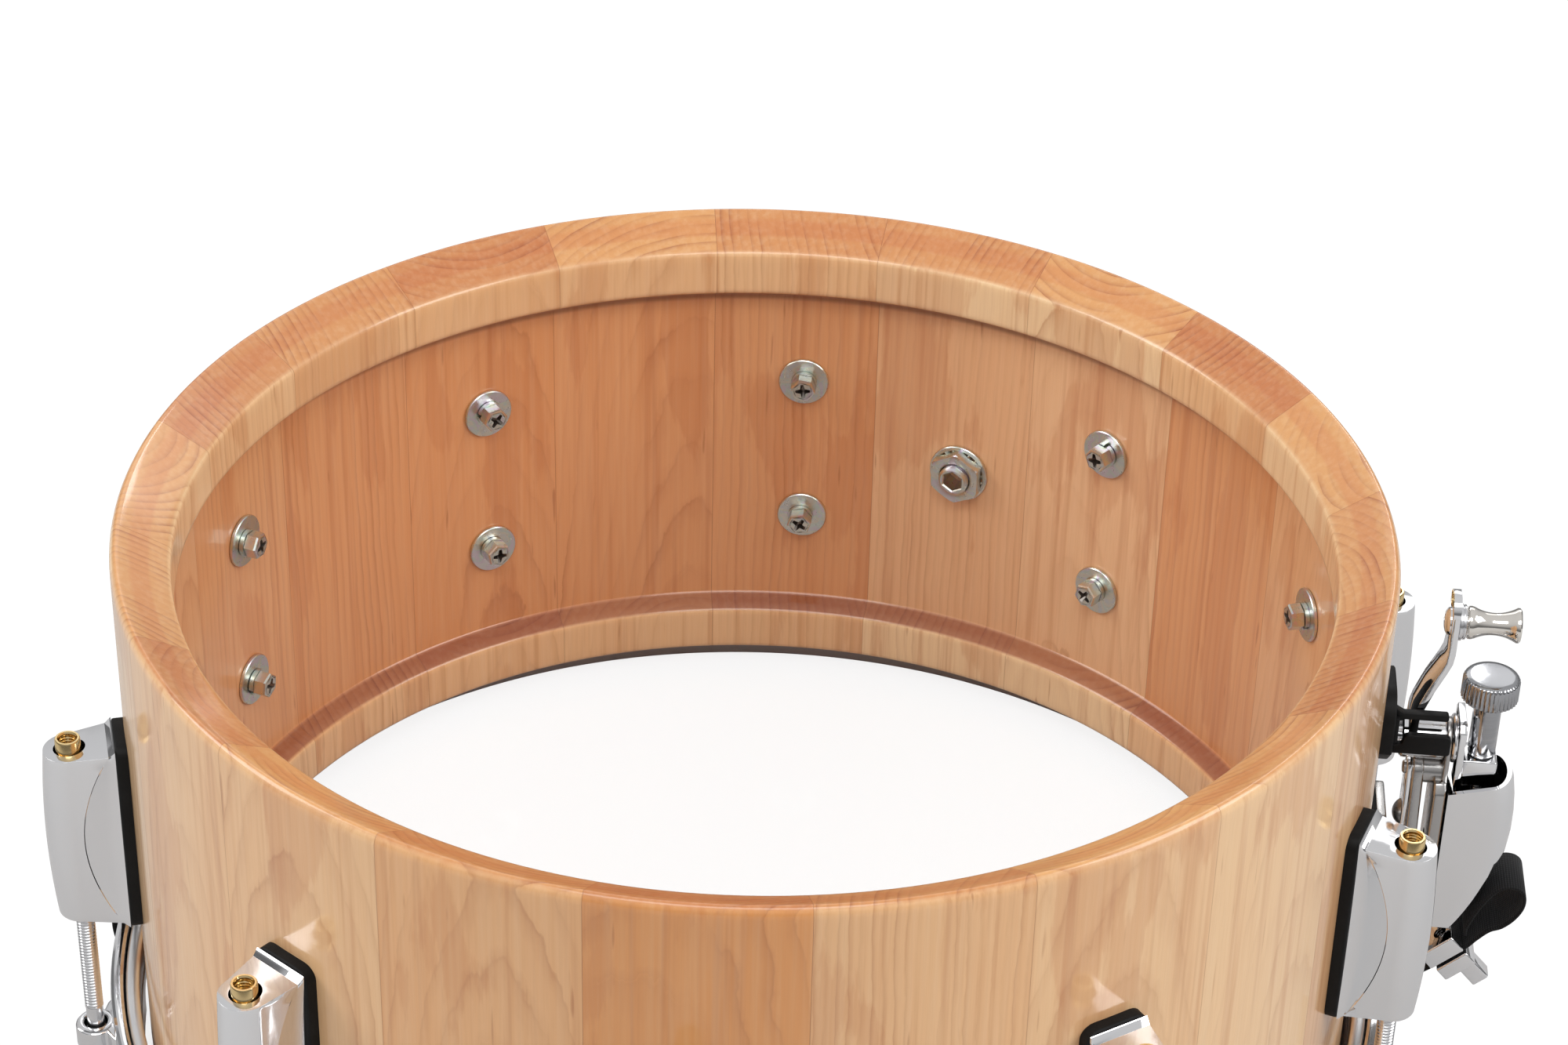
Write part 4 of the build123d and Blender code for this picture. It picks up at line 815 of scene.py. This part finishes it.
def copies(source, name, body, node, place):
    """Ten pieces that share a mesh, in place of the object it came from."""
    for i, angle in enumerate(LUG_ANGLES):
        number = f"_{i + 1:02d}"
        obj = add_object(name + number, source.data)
        obj.matrix_world = place(angle)
        piece(obj, body.replace("_NN", number), "chrome", node + number)
    bpy.data.objects.remove(source)


copies(lug_casing(), "lug_body", "drum", "lug_casing",
       lambda angle: spin(angle) @ shift(0, 0, MID_Z * MM))

bm_gasket, bm_nut = bmesh.new(), bmesh.new()
for angle in LUG_ANGLES:
    merge(bm_gasket, gasket_mesh(18.6, 62.4, FACE_X, 4.0), spin(angle))
    merge(bm_nut, swivel_nut(), spin(angle))
for name, bm, material, sharp, slot, node in (
        ("lug_gasket_set", bm_gasket, RUBBER, 32, "black_rubber", "lug_gaskets"),
        ("brass_nut_set", bm_nut, BRASS, 50, "brass", "swivel_nuts")):
    obj = make(name, bm, material, sharp)
    obj.location.z = MID_Z * MM
    piece(obj, "drum", slot, node)

# ---- tension rods and washers ----
bm = bmesh.new()
lathe(bm, [(0, 12.25), (2.45, 12.25), (2.45, 26.6), (2.3, 27.2)], 32)
thread(bm, 2.65, 1.06, 27.2, 80.2, 0.5, columns=24)
lathe(bm, [(2.45, 80.2), (1.9, 80.5), (0, 80.5)], 24)
lathe(bm, [(0, 10.65), (4.3, 10.65), (4.6, 10.95), (4.6, 11.95), (4.3, 12.25), (0, 12.25)], 40)
prism(bm, rounded_rect(6.0, 6.0, 0.8, count=4), 3.45, 10.7, 0.5, 2)
copies(make("rod", bm, SATIN, 60), "threaded_rod", "tension_rod_NN", "tension_rod",
       lambda angle: shift(*polar(ROD_R * MM, angle), 0))

bm = bmesh.new()
for angle in LUG_ANGLES:
    washer_ring(bm, 5.2, 3.05, 1.2, spin(angle) @ shift(ROD_R, 0, 12.3))
fit("rod_washer_set", bm, CHROME, "chrome", "rod_washers")

# ---- hoops and head ----
bm = bmesh.new()
lathe(bm, [(178.4, 1.2), (179.0, 0.3), (180.0, 0.0), (182.8, 0.0), (183.8, 0.4), (184.2, 1.4),
           (184.2, 4.0), (184.9, 7.4), (185.9, 12.4), (186.7, 14.6), (186.9, 16.5),
           (186.9, 22.4), (186.6, 23.7), (185.8, 24.4), (184.9, 24.5), (184.0, 24.4),
           (183.2, 23.7), (182.9, 22.6), (182.9, 13.2), (178.9, 12.9), (178.4, 12.2)],
      240, closed=True)
gates = bmesh.new()
for angle in (180, 0):
    prism(gates, rounded_rect(60, 30, 5.0, 0, -6.3), 150, 200, 0, m=outward(angle, 0, 0))
bm = cut(bm, gates)
ear_outline = [(185.2, 11.0), (185.2, -11.0), (187.6, -8.2)]
ear_outline += circle(5.8, 21, ROD_R, 0, -118, 236) + [(187.6, 8.2)]
for angle in LUG_ANGLES:
    ear, hole = bmesh.new(), bmesh.new()
    prism(ear, ear_outline, 13.5, 21.0, 0.8, 3)
    prism(hole, circle(3.5, 32, ROD_R, 0), 5, 30, 0)
    ear = cut(ear, hole)
    lathe(ear, [(3.5, 20.9), (3.7, 21.35), (4.4, 21.5), (5.1, 21.35), (5.3, 20.9)], 32,
          shift(ROD_R, 0, 0))
    merge(bm, ear, spin(angle))
fit("die_cast_hoop", bm, HOOP_CHROME, "hoop_chrome", "snare_side_hoop", sharp=30)

bm = bmesh.new()
lathe(bm, [(178.6, 14.2), (178.8, 13.3), (179.5, 13.0), (181.7, 13.0), (182.4, 13.3),
           (182.6, 14.2), (182.6, 22.2), (182.35, 23.0), (181.6, 23.4), (179.6, 23.4),
           (178.85, 23.0), (178.6, 22.2)], 200, closed=True)
fit("flesh_ring", bm, ALUMINIUM, "aluminium_ring", "flesh_hoop", sharp=50)

bm = bmesh.new()
skin = [(0, 7.83), (60, 7.83), (120, 7.83), (165, 7.83), (174.4, 7.84), (175.3, 8.0),
        (175.9, 8.4), (176.3, 9.0), (176.5, 10.0), (176.62, 12.0), (176.7, 14.2), (176.9, 15.2),
        (177.4, 16.0), (178.25, 16.43)]
under = [(r + (0.2 if z > 8.6 else 0.0), z - (0.22 if z < 9 else 0.05)) for r, z in skin]
lathe(bm, skin + list(reversed(under)), 180)
fit("head_film", bm, FILM, "clear_film", "snare_head", sharp=60)

# ---- snares ----
WIRES, WIRE_GAP, WIRE_Z = 20, 2.1, 6.905
HALF_LENGTH, TURN_STEPS = 158, 8
bm = bmesh.new()
for k in range(WIRES):
    y, rows = (k - (WIRES - 1) / 2) * WIRE_GAP, []
    for i in range(HALF_LENGTH * TURN_STEPS + 1):
        a = 2 * pi * i / TURN_STEPS
        side, ahead = Vector((0, cos(a), sin(a))), Vector((0.24, 0, 0))
        centre = Vector((2 * i / TURN_STEPS - HALF_LENGTH, y, WIRE_Z)) + side * 0.5
        rows.append(row(bm, [centre + side * 0.22, centre + ahead, centre - side * 0.22,
                             centre - ahead]))
    bridge(bm, rows)
fit("snare_coils", bm, WIRE, "steel_wire", "snare_wires", sharp=60)
bm = bmesh.new()
for side in (-1, 1):
    prism(bm, rounded_rect(16, 43, 2.0, side * 154, 0), 5.15, 6.1, 0.3, 2)
fit("snare_plates", bm, NICKEL, "nickel", "snare_end_plates")


# ---- strainer ----
PIVOT = 112.4
KNOB_Z = 151.5
PIN = 3.54  # the crank pin's offset from the pivot, along Y and along Z
STRAINER_Z, BUTT_Z, FITTING_R = 67, 56, 178.0
FRAME_X, GUIDE_X, GUIDE_FRONT = 186.8, 193.0, 196.6
HOUSING_BACK, HOUSING_HALF = 197.0, 9.3


def slab(bm, outline, near, far, bevel=0.4, segments=2):
    """An outline in X and Z, from one Y to another."""
    prism(bm, outline, -max(near, far), -min(near, far), bevel, segments, SIDE_PLANE)


def plate(bm, outline, near, far, bevel=0.3, segments=2):
    """An outline in Y and Z, from one X to another."""
    prism(bm, outline, near, far, bevel, segments, along_x())


def box(bm, x0, z0, x1, z1, near, far, bevel=0.4):
    slab(bm, [(x0, z0), (x1, z0), (x1, z1), (x0, z1)], near, far, bevel)


def spool(bm, profile, segments, z, y=0, x=0, closed=False):
    """A shape turned round an axis along X."""
    lathe(bm, profile, segments, along_x(y, z, x), closed)


bm = gasket_mesh(23, 47, FITTING_R, 3.0, STRAINER_Z)
fit("strainer_pad", bm, RUBBER, "black_rubber", "strainer_gasket")

DETENT_Z = 101.3
bm = bmesh.new()
prism(bm, rounded_rect(21, 45, 3.0), 0, 3, 0.6, 3, outward(0, FITTING_R, STRAINER_Z))
slab(bm, [(180.5, 48), (196.6, 48), (196.6, 60), (187, 60), (180.5, 63)], -7.5, 7.5, 0.8, 3)
plate(bm, [(-7, 50), (7, 50), (7, 84), (5.6, 92)] + circle(4.4, 13, 0, DETENT_Z, 0, 180)
      + [(-5.6, 92), (-7, 84)], FRAME_X, 190.2, 0.7, 3)
plate(bm, [(-8.5, 48), (8.5, 48), (8.5, 98), (6.5, 101), (-6.5, 101), (-8.5, 98)],
      GUIDE_X, GUIDE_FRONT, 0.7, 3)
plate(bm, [(-6, 96), (6, 96)] + circle(6, 17, 0, PIVOT, 0, 180), 195.2, GUIDE_FRONT, 0.35)
spool(bm, [(0, 0), (4.1, 0), (4.1, 9.8), (0, 9.8)], 36, DETENT_Z, x=FRAME_X)
for y in (-5.4, 5.4):
    box(bm, 193.3, 50, 194.6, 98, y - 0.9, y + 0.9, 0.3)
fit("strainer_casting", bm, CAST, "cast_metal", "strainer_frame", sharp=35)

bm = bmesh.new()
plate(bm, [(-5, 80.5), (5, 80.5), (5, 92), (3.6, 104.3), (-3.6, 104.3), (-5, 92)],
      185.4, 186.78)
fit("polished_plate", bm, CHROME, "chrome", "detent_plate")

bm = bmesh.new()
dome = [(4.38 * sin(t), 2.18 - 4.38 * cos(t))
        for t in [radians(6 + 6 * k) for k in range(10)]]
spool(bm, [(0, -2.2)] + dome + [(0, 0)], 40, 85.5, x=185.4)
spool(bm, [(0, -2.4), (1.5, -2.4), (1.9, -2.0), (1.9, 0), (0, 0)], 28, DETENT_Z, x=FRAME_X)
for z in (64, 78):
    spool(bm, [(0, 0), (2.0, 0), (2.0, 5.7), (3.2, 5.7), (3.2, 6.6), (2.9, 6.9), (0, 6.9)], 28,
          z, x=GUIDE_X)
fit("strainer_rivets", bm, CAST, "zinc_steel", "frame_rivets", sharp=40)

# black bracket: wall plate, lower cheek and the bar that stops the lever
bm = bmesh.new()
base = [(-4.5, 106.5), (4.5, 106.5), (12, 113.5)] + circle(8.0, 9, 4.0, 123.0, 0, 90)
base += circle(8.0, 9, -4.0, 123.0, 90, 90) + [(-12, 113.5)]
plate(bm, base, 174.2, 179.6, 0.5, 3)
fit_to_shell(bm, 176.0, 0.02)
cheek = [(178.8, 113.4), (194.9, 113.4), (195.5, 114.0)] + circle(1.7, 6, 193.8, 118.1, 0, 90)
cheek += [(185.0, 119.8)] + circle(1.9, 6, 184.2, 117.9, 90, 90) + [(181.9, 116.6), (178.8, 116.2)]
slab(bm, cheek, -11.0, -8.8, 0.5, 3)
slab(bm, [(178.8, 122.2), (181.4, 122.9), (182.4, 123.4), (193.9, 123.4), (194.4, 123.9),
          (194.4, 124.9), (193.9, 125.4), (182.0, 125.4), (180.6, 126.2), (178.8, 127.6)],
     -8.6, -5.9)
box(bm, 178.8, 113.4, 180.8, 124.5, -10.6, -6.2, 0.5)
fit("lever_bracket_moulding", bm, PLASTIC, "black_plastic", "lever_bracket")

# throw lever
bm = bmesh.new()
slab(bm, [(184.2, 108.5), (184.15, 117.5), (184.3, 121.2), (185.0, 124.3), (187.6, 131.6),
          (190.6, 138.2), (191.6, 141.0), (191.9, 144.0), (191.9, 161.2), (194.1, 161.2),
          (194.1, 143.6), (193.7, 140.4), (192.6, 137.4), (189.8, 130.8), (187.4, 123.8),
          (186.8, 120.8), (186.7, 117.5), (186.7, 108.5)], -5.5, 5.5, 0.45)
corners = bmesh.new()
for half in (1, -1):
    tip = [(half * x, y) for y, x in circle(5.48, 19, 155.7, 0, 0, 90)]
    plate(corners, tip + [(half * 9, 155.7), (half * 9, 170), (0, 170)], 180, 200, 0)
bm = cut(bm, corners)
spool(bm, [(2.25, 182.6), (5.9, 182.6), (6.4, 183.1), (6.4, 194.5), (5.9, 195.0), (2.25, 195.0)],
      48, PIVOT, closed=True)
fit("throw_arm", bm, CHROME, "chrome", "throw_lever", "throw_lever", 30)

bm = bmesh.new()
spool(bm, [(0, 177.6), (2.0, 177.6), (2.2, 177.8), (2.2, 196.8), (6.6, 196.8), (7.0, 197.2),
           (7.0, 197.7), (6.6, 198.1), (0, 198.1)], 44, PIVOT)
spool(bm, [(0, 198.0), (1.8, 198.0), (1.8, 200.3), (1.5, 200.6), (0, 200.6)], 24,
      PIVOT + PIN, PIN)
fit("crank_shaft", bm, SATIN, "zinc_steel", "lever_shaft", "throw_lever")

bm = bmesh.new()
spool(bm, [(0, 190.2), (1.6, 190.28), (2.9, 190.62), (3.7, 191.15), (4.0, 191.6), (4.0, 191.9),
           (1.8, 191.9), (1.8, 209.2), (0, 209.2)], 40, KNOB_Z)
fit("knob_rivet", bm, CHROME, "chrome", "lever_rivet", "throw_lever", 30)
bm = bmesh.new()
spool(bm, [(1.85, 194.1), (4.9, 194.1), (5.2, 194.35), (5.2, 195.0), (4.7, 195.2), (4.7, 195.35),
           (4.9, 195.5), (4.9, 196.0), (4.6, 196.2), (1.85, 196.2)], 44, KNOB_Z, closed=True)
fit("knob_washer", bm, SATIN, "chrome", "lever_washer", "throw_lever", 30)
bm = bmesh.new()
waist = [(3.12 + 1.62 * abs(k / 10 - 1) ** 2.1, 197.9 + 0.595 * k) for k in range(1, 20)]
spool(bm, [(1.9, 196.5), (4.2, 196.5), (4.6, 196.9), (4.66, 197.6)] + waist
      + [(4.9, 210.1), (4.9, 210.7), (4.55, 211.1), (4.0, 211.2), (0, 211.2)], 56, KNOB_Z)
spool(bm, [(1.9, 196.5), (1.9, 209.4), (0, 209.4)], 24, KNOB_Z)
fit("spool_knob", bm, NICKEL, "nickel", "lever_knob", "lever_knob", 35)

# sliding housing: for each height, where its flat sides end and how far its nose reaches
SECTIONS = [(52, 202.0, 204.8), (55, 203.8, 206.8), (58, 205.3, 208.4), (62, 207.0, 210.5),
            (66, 208.4, 212.2), (71, 209.8, 214.4), (78, 210.7, 216.4), (84, 210.8, 217.0),
            (90, 210.6, 217.0), (96, 210.1, 216.5), (101, 209.5, 215.7), (104.5, 209.2, 215.0)]
TAB = (198.4, 200.4)


def housing_line(edge, reach, inset):
    half, back = HOUSING_HALF - inset, HOUSING_BACK + inset
    nose = [(edge + (reach - inset - edge) * abs(cos(a)) ** 0.9, half * sin(a))
            for a in [radians(9 * k - 90) for k in range(21)]]
    sides = [(back + (edge - back) * t, -half) for t in (0.0, 0.33, 0.66)]
    return sides + nose + [(x, -y) for x, y in reversed(sides)]


def rim_height(x):
    """The open top slopes up towards the nose."""
    return 98.8 + (x - 196.0) * 0.2375


bm = bmesh.new()
walls = []
for inset in (0.0, 1.4):
    rows = [row(bm, [(x, y, min(z, rim_height(x))) for x, y in housing_line(edge, reach, inset)])
            for z, edge, reach in SECTIONS]
    walls.append(rows)
    for one, two in zip(rows, rows[1:]):
        for j in range(len(one)):
            k = (j + 1) % len(one)
            if max((one[i].co - two[i].co).length for i in (j, k)) > 1e-4:
                bm.faces.new((one[j], one[k], two[k], two[j]))
for level in (0, -1):
    bridge(bm, [walls[0][level], walls[1][level]])
bmesh.ops.remove_doubles(bm, verts=bm.verts, dist=1e-4)
bmesh.ops.dissolve_degenerate(bm, edges=bm.edges, dist=1e-4)
tab, slot = bmesh.new(), bmesh.new()
plate(tab, [(-5.5, 91), (9.4, 91), (9.4, 117.5), (7.4, 119.5), (-3.5, 119.5), (-5.5, 117.5)],
      *TAB, 0.25)
plate(slot, rounded_rect(6.0, 4.3, 0.6, 4.2, PIVOT + PIN), 190, 210, 0)
merge(bm, cut(tab, slot))
housing = make("sliding_housing", bm, CHROME, 34)
# painted shade: the housing's inner walls below the rim take the near-black second material
housing.data.materials.append(SHADE)
for poly in housing.data.polygons:
    c = poly.center / MM
    inside = poly.normal.dot(Vector((204 - c.x, -c.y, 0))) > 0 and c.x > HOUSING_BACK + 0.5
    low = 52.2 < c.z < min(98, rim_height(c.x) - 1.2)
    if inside and low and all(abs(c.x - x) > 0.05 for x in TAB):
        poly.material_index = 1
piece(housing, "carriage", "chrome", "carriage_housing")

bm = bmesh.new()
slab(bm, [(200.4, 99.5), (210.0, 99.5), (210.0, 107.4), (209.4, 108.0), (201.0, 108.0),
          (200.4, 107.4)], -4.7, 4.7, 0.5, 3)
fit("screw_block", bm, CHROME, "chrome", "adjuster_block", "carriage")

# tension screw with its knurled knob
at = shift(SCREW_X, 0, 0)
RIBS, GRIP_POINTS = 40, 160
grip = [8.0 - 0.42 * (0.5 + 0.5 * cos(2 * pi * i * RIBS / GRIP_POINTS))
        for i in range(GRIP_POINTS)]
bm = bmesh.new()
rows = []
for z, smooth in ((126.5, 6.36), (126.7, 7.155), (127.3, None), (133.2, None), (133.9, 7.5525),
                  (134.35, 6.837), (134.5, 5.724)):
    rows.append(row(bm, [(*polar(smooth or r, 360 * i / GRIP_POINTS), z)
                         for i, r in enumerate(grip)], at))
bridge(bm, rows)
for line, z in ((rows[-1], 134.62), (rows[0], 126.5)):
    middle = bm.verts.new((SCREW_X, 0, z))
    for j in range(GRIP_POINTS):
        bm.faces.new((line[j], line[(j + 1) % GRIP_POINTS], middle))
lathe(bm, [(0, 126.6), (3.9, 126.6), (3.9, 109.6), (3.7, 109.3), (3.7, 109.0), (3.9, 108.8),
           (3.7, 108.3), (0, 108.3)], 48, at)
lathe(bm, [(0, 108.4), (1.9, 108.4), (1.9, 99.0)], 28, at)
thread(bm, 2.0, 0.8, 62.2, 99.0, 0.24, at, 24)
lathe(bm, [(1.9, 62.2), (1.5, 61.6), (0, 61.5)], 24, at)
fit("knurled_knob", bm, TURNED, "chrome", "tension_knob", "tension_knob", 42)

# clamp
TILT = radians(42)
ALONG = (cos(TILT), sin(TILT))
ACROSS = (sin(TILT), -cos(TILT))
CLAMP_X, CLAMP_Z = 203.9, 49.0
BOLT_ALONG, BOLT_YS = -3.8, (-4.5, 4.5)


def clamp_at(along, across):
    return (CLAMP_X + along * ALONG[0] + across * ACROSS[0],
            CLAMP_Z + along * ALONG[1] + across * ACROSS[1])


def clamp_frame(y, across):
    """Local Z goes across the strap towards the jaw, local X along the drum's Y."""
    x, z = clamp_at(BOLT_ALONG, across)
    return Matrix(((0, ALONG[0], ACROSS[0], x), (1, 0, 0, y), (0, ALONG[1], ACROSS[1], z),
                   (0, 0, 0, 1)))


def clamp_bar(near, far, length):
    """One half of the clamp, with its two bolt holes."""
    bar, holes = bmesh.new(), bmesh.new()
    slab(bar, [clamp_at(*p) for p in ((0, near), (0, far), (-length, far), (-length, near))],
         -10, 10, 0.5, 3)
    for y in BOLT_YS:
        prism(holes, circle(2.15, 28), -30, 30, 0, m=clamp_frame(y, 5))
    return cut(bar, holes)


def key_head(bm, low, m):
    """The square head of a drum-key bolt."""
    prism(bm, rounded_rect(5.6, 5.6, 0.9, count=5), low, low + 8.0, 0.6, 3, m)


bm = clamp_bar(0, 6.0, 11.5)
for y in BOLT_YS:
    thread(bm, 2.1, 0.7, -0.1, 5.8, -0.25, clamp_frame(y, 0.1))
box(bm, 200.3, 46, 202.9, 66.5, -3.5, 3.5)
box(bm, 200.3, 66, 208.8, 74, -3.5, 3.5)
fit("clamp_body", bm, CHROME, "chrome", "clamp_slider", "snare_clamp", 30)
bm = clamp_bar(7.1, 11.9, 10.5)
fit("clamp_plate", bm, CHROME, "chrome", "clamp_jaw", "snare_clamp", 30)
bm = bmesh.new()
m = clamp_frame(BOLT_YS[0], 2.0)
key_head(bm, 9.9, m)
lathe(bm, [(1.95, 1.2), (1.95, 10.0)], 24, m)
thread(bm, 1.98, 0.7, 0.0, 1.4, 0.2, m, 24)
fit("clamp_key_bolt", bm, CHROME, "chrome", "clamp_key", "snare_clamp", 30)


# straps
STRAP_WIDE, STRAP_THICK = 16.6, 0.9


def smooth_line(route):
    """Points on a curve through every point of a route."""
    steps = 10
    points = [Vector(p) for p in route]
    ends = [points[0]] + points + [points[-1]]
    line = []
    for p0, p1, p2, p3 in zip(ends, ends[1:], ends[2:], ends[3:]):
        for t in [k / steps for k in range(steps)]:
            line.append(0.5 * ((2 * p1) + (p2 - p0) * t + (2 * p0 - 5 * p1 + 4 * p2 - p3) * t * t
                               + (3 * p1 - p0 - 3 * p2 + p3) * t**3))
    return line + [points[-1]]


def ribbon(name, route, body, node):
    """A flat ribbon along a smooth route in X and Z, with rounded, slightly raised edges."""
    w, h = STRAP_WIDE / 2, STRAP_THICK / 2
    edge = [(-w + 0.25, -h), (-w, -h * 0.4), (-w, h * 0.4), (-w + 0.25, h), (-w + 1.0, h),
            (-w + 1.4, h * 0.86)]
    section = edge + [(-w + STRAP_WIDE * k / 12, h * 0.86) for k in range(2, 11)]
    section += [(-y, o) for y, o in reversed(edge)]
    line = smooth_line(route)
    bm = bmesh.new()
    layer = bm.verts.layers.float_vector.new("ribbon")
    rows, travel = [], 0.0
    for i, p in enumerate(line):
        d = (line[min(i + 1, len(line) - 1)] - line[max(i - 1, 0)]).normalized()
        travel += (p - line[max(i - 1, 0)]).length
        rows.append(row(bm, [(p.x - d.y * o, y, p.y + d.x * o) for y, o in section]))
        for v in rows[-1]:
            v[layer] = Vector((travel, v.co.y, 0))
    bridge(bm, rows)
    cap(bm, rows)
    return fit(name, bm, WEB, "black_webbing", node, body, 70)


MID = 6.55  # the strap's middle in the clamp, measured across it
loop = [clamp_at(-11.0, MID), clamp_at(-5, MID), clamp_at(0.6, MID), (211.2, 47.6),
        (214.4, 50.9), (217.8, 52.6), (220.9, 55.9), (222.9, 60.2), (222.8, 64.4),
        (220.8, 66.6), (217.6, 66.9), (214.4, 64.9), (211.8, 61.0), (209.6, 56.4),
        (207.9, 51.4), (207.9, 48.9)]
ribbon("strap_teardrop", loop, "snare_clamp", "strap_loop")
under = [(149, 4.65), (165, 4.65), (180, 4.65), (185.6, 4.9), (188.6, 7.2)]
lower = under + [(190.2, 11.4), (191.6, 18.0), (193.6, 27.0), clamp_at(-17.0, MID),
                 clamp_at(-12.2, MID)]
strap = ribbon("lower_strap", lower, "drum", "snare_strap")
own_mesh(strap)
back = [(190.0, 11.4), (190.1, 18.0), (188.6, 30.0), (187.5, 41.0), (187.5, 55), (187.5, 68.6)]
ribbon("butt_ribbon", [(-x, z) for x, z in under + back], "drum", "butt_strap")

# ---- butt plate ----
bm = bmesh.new()
merge(bm, gasket_mesh(45, 36, FITTING_R, 5.0, BUTT_Z), spin(180))
fit("butt_pad", bm, RUBBER, "black_rubber", "butt_gasket")
bm = bmesh.new()
at = outward(180, FITTING_R, BUTT_Z)
prism(bm, rounded_rect(43, 34, 5.0), 0, 3, 0.9, 3, at)
prism(bm, rounded_rect(30, 22, 3.0), 2.5, 8.9, 0.8, 3, at)
fit("butt_casting", bm, CHROME, "chrome", "butt_plate")
bm = bmesh.new()
at = outward(180, 188.1, BUTT_Z)
prism(bm, rounded_rect(30, 14, 3.0), 0, 3.2, 0.6, 3, at)
fit("butt_clamp_plate", bm, CHROME, "chrome", "butt_jaw")
bm = bmesh.new()
for y in (-11, 11):
    key_head(bm, 3.2, at @ shift(y, 0, 0))
    lathe(bm, [(2.0, -6.2), (2.0, 3.3)], 24, at @ shift(y, 0, 0))
fit("butt_key_bolts", bm, CHROME, "chrome", "butt_keys", sharp=30)

# bolts that hold the strainer and the butt plate
bm_washer, bm_bolt = bmesh.new(), bmesh.new()
for angle, height in ((0, 54), (0, 80), (180, 46), (180, 66)):
    bolt(angle, height, (bm_washer, bm_washer, bm_bolt), (40 + height, height),
         [(2.4, -16.0), (0, -16.0)])
fit("fitting_washer_set", bm_washer, ZINC, "zinc_steel", "fitting_washers")
bolt_set("fitting_bolt_set", bm_bolt, "fitting_bolts")


# ---- stage, lights and camera ----
def paper(name, grey, glow):
    """A matt surface of one grey that can glow white."""
    return Shader(name).set(Base_Color=(grey,) * 3, Roughness=0.9, Specular_IOR_Level=0.0,
                            Emission_Color=(1, 1, 1), Emission_Strength=glow)


bm = bmesh.new()
lathe(bm, [(0, 0), (1200, 0)], 96)
floor = make("floor", bm, paper("floor_pale", 0.52, 0.0))
floor.location.z = -0.0004
floor.visible_camera = False
bm = bmesh.new()
bmesh.ops.create_uvsphere(bm, u_segments=48, v_segments=24, radius=6000)
backdrop = make("backdrop", bm, paper("backdrop_white", 0.0, 1.05))
for kind in ("diffuse", "glossy", "transmission", "volume_scatter", "shadow"):
    setattr(backdrop, "visible_" + kind, False)

world = bpy.data.worlds.new("studio")
sky = Shader("studio", world, "Background", "Generated")
greys = [(0.0, 0.24), (0.10, 0.28), (0.22, 0.58), (0.5, 0.88), (1.0, 1.0)]
sky.set(Color=sky.ramp(sky.split(sky.coords)[2], [(z, (g, g, g * 1.01)) for z, g in greys]),
        Strength=0.70)
scene.world = world

# softboxes: name, place, target, width, height and power
LIGHTS = [("front_light", (0.0, -0.9, 1.45), (0, 0, 0.1), 1.1, 0.6, 8),
          ("left_light", (-1.4, -0.1, 1.0), (0, 0, 0.1), 0.8, 0.9, 10.5),
          ("right_light", (1.4, -0.3, 0.95), (0, 0, 0.1), 0.8, 0.9, 10.5),
          ("back_light", (0.1, 1.5, 1.15), (0, 0, 0.1), 1.6, 0.6, 2.4),
          ("gleam_light", (0.26, 1.3, 1.0), (0.12, 0, 0.15), 0.13, 0.34, 1.0)]
for name, start, target, width, height, power in LIGHTS:
    light = bpy.data.lights.new(name, "AREA")
    light.shape = "RECTANGLE"
    light.size, light.size_y, light.energy = width, height, power
    obj = add_object(name, light)
    obj.location = start
    obj.rotation_euler = (Vector(target) - Vector(start)).to_track_quat("-Z", "Y").to_euler()

lens = bpy.data.cameras.new("camera")
lens.sensor_width = 36
lens.lens = 85.26
lens.clip_end = 50
camera = add_object("camera", lens)
PITCH, ROLL, YAW = degrees(0.572), degrees(0.026), 4.46
camera.matrix_world = (shift(0.074485, -0.858158, 0.72298) @ spin(YAW) @ spin(90 - PITCH, "X")
                       @ spin(ROLL))
scene.camera = camera
scene.view_settings.view_transform = "Standard"

bpy.context.view_layer.update()
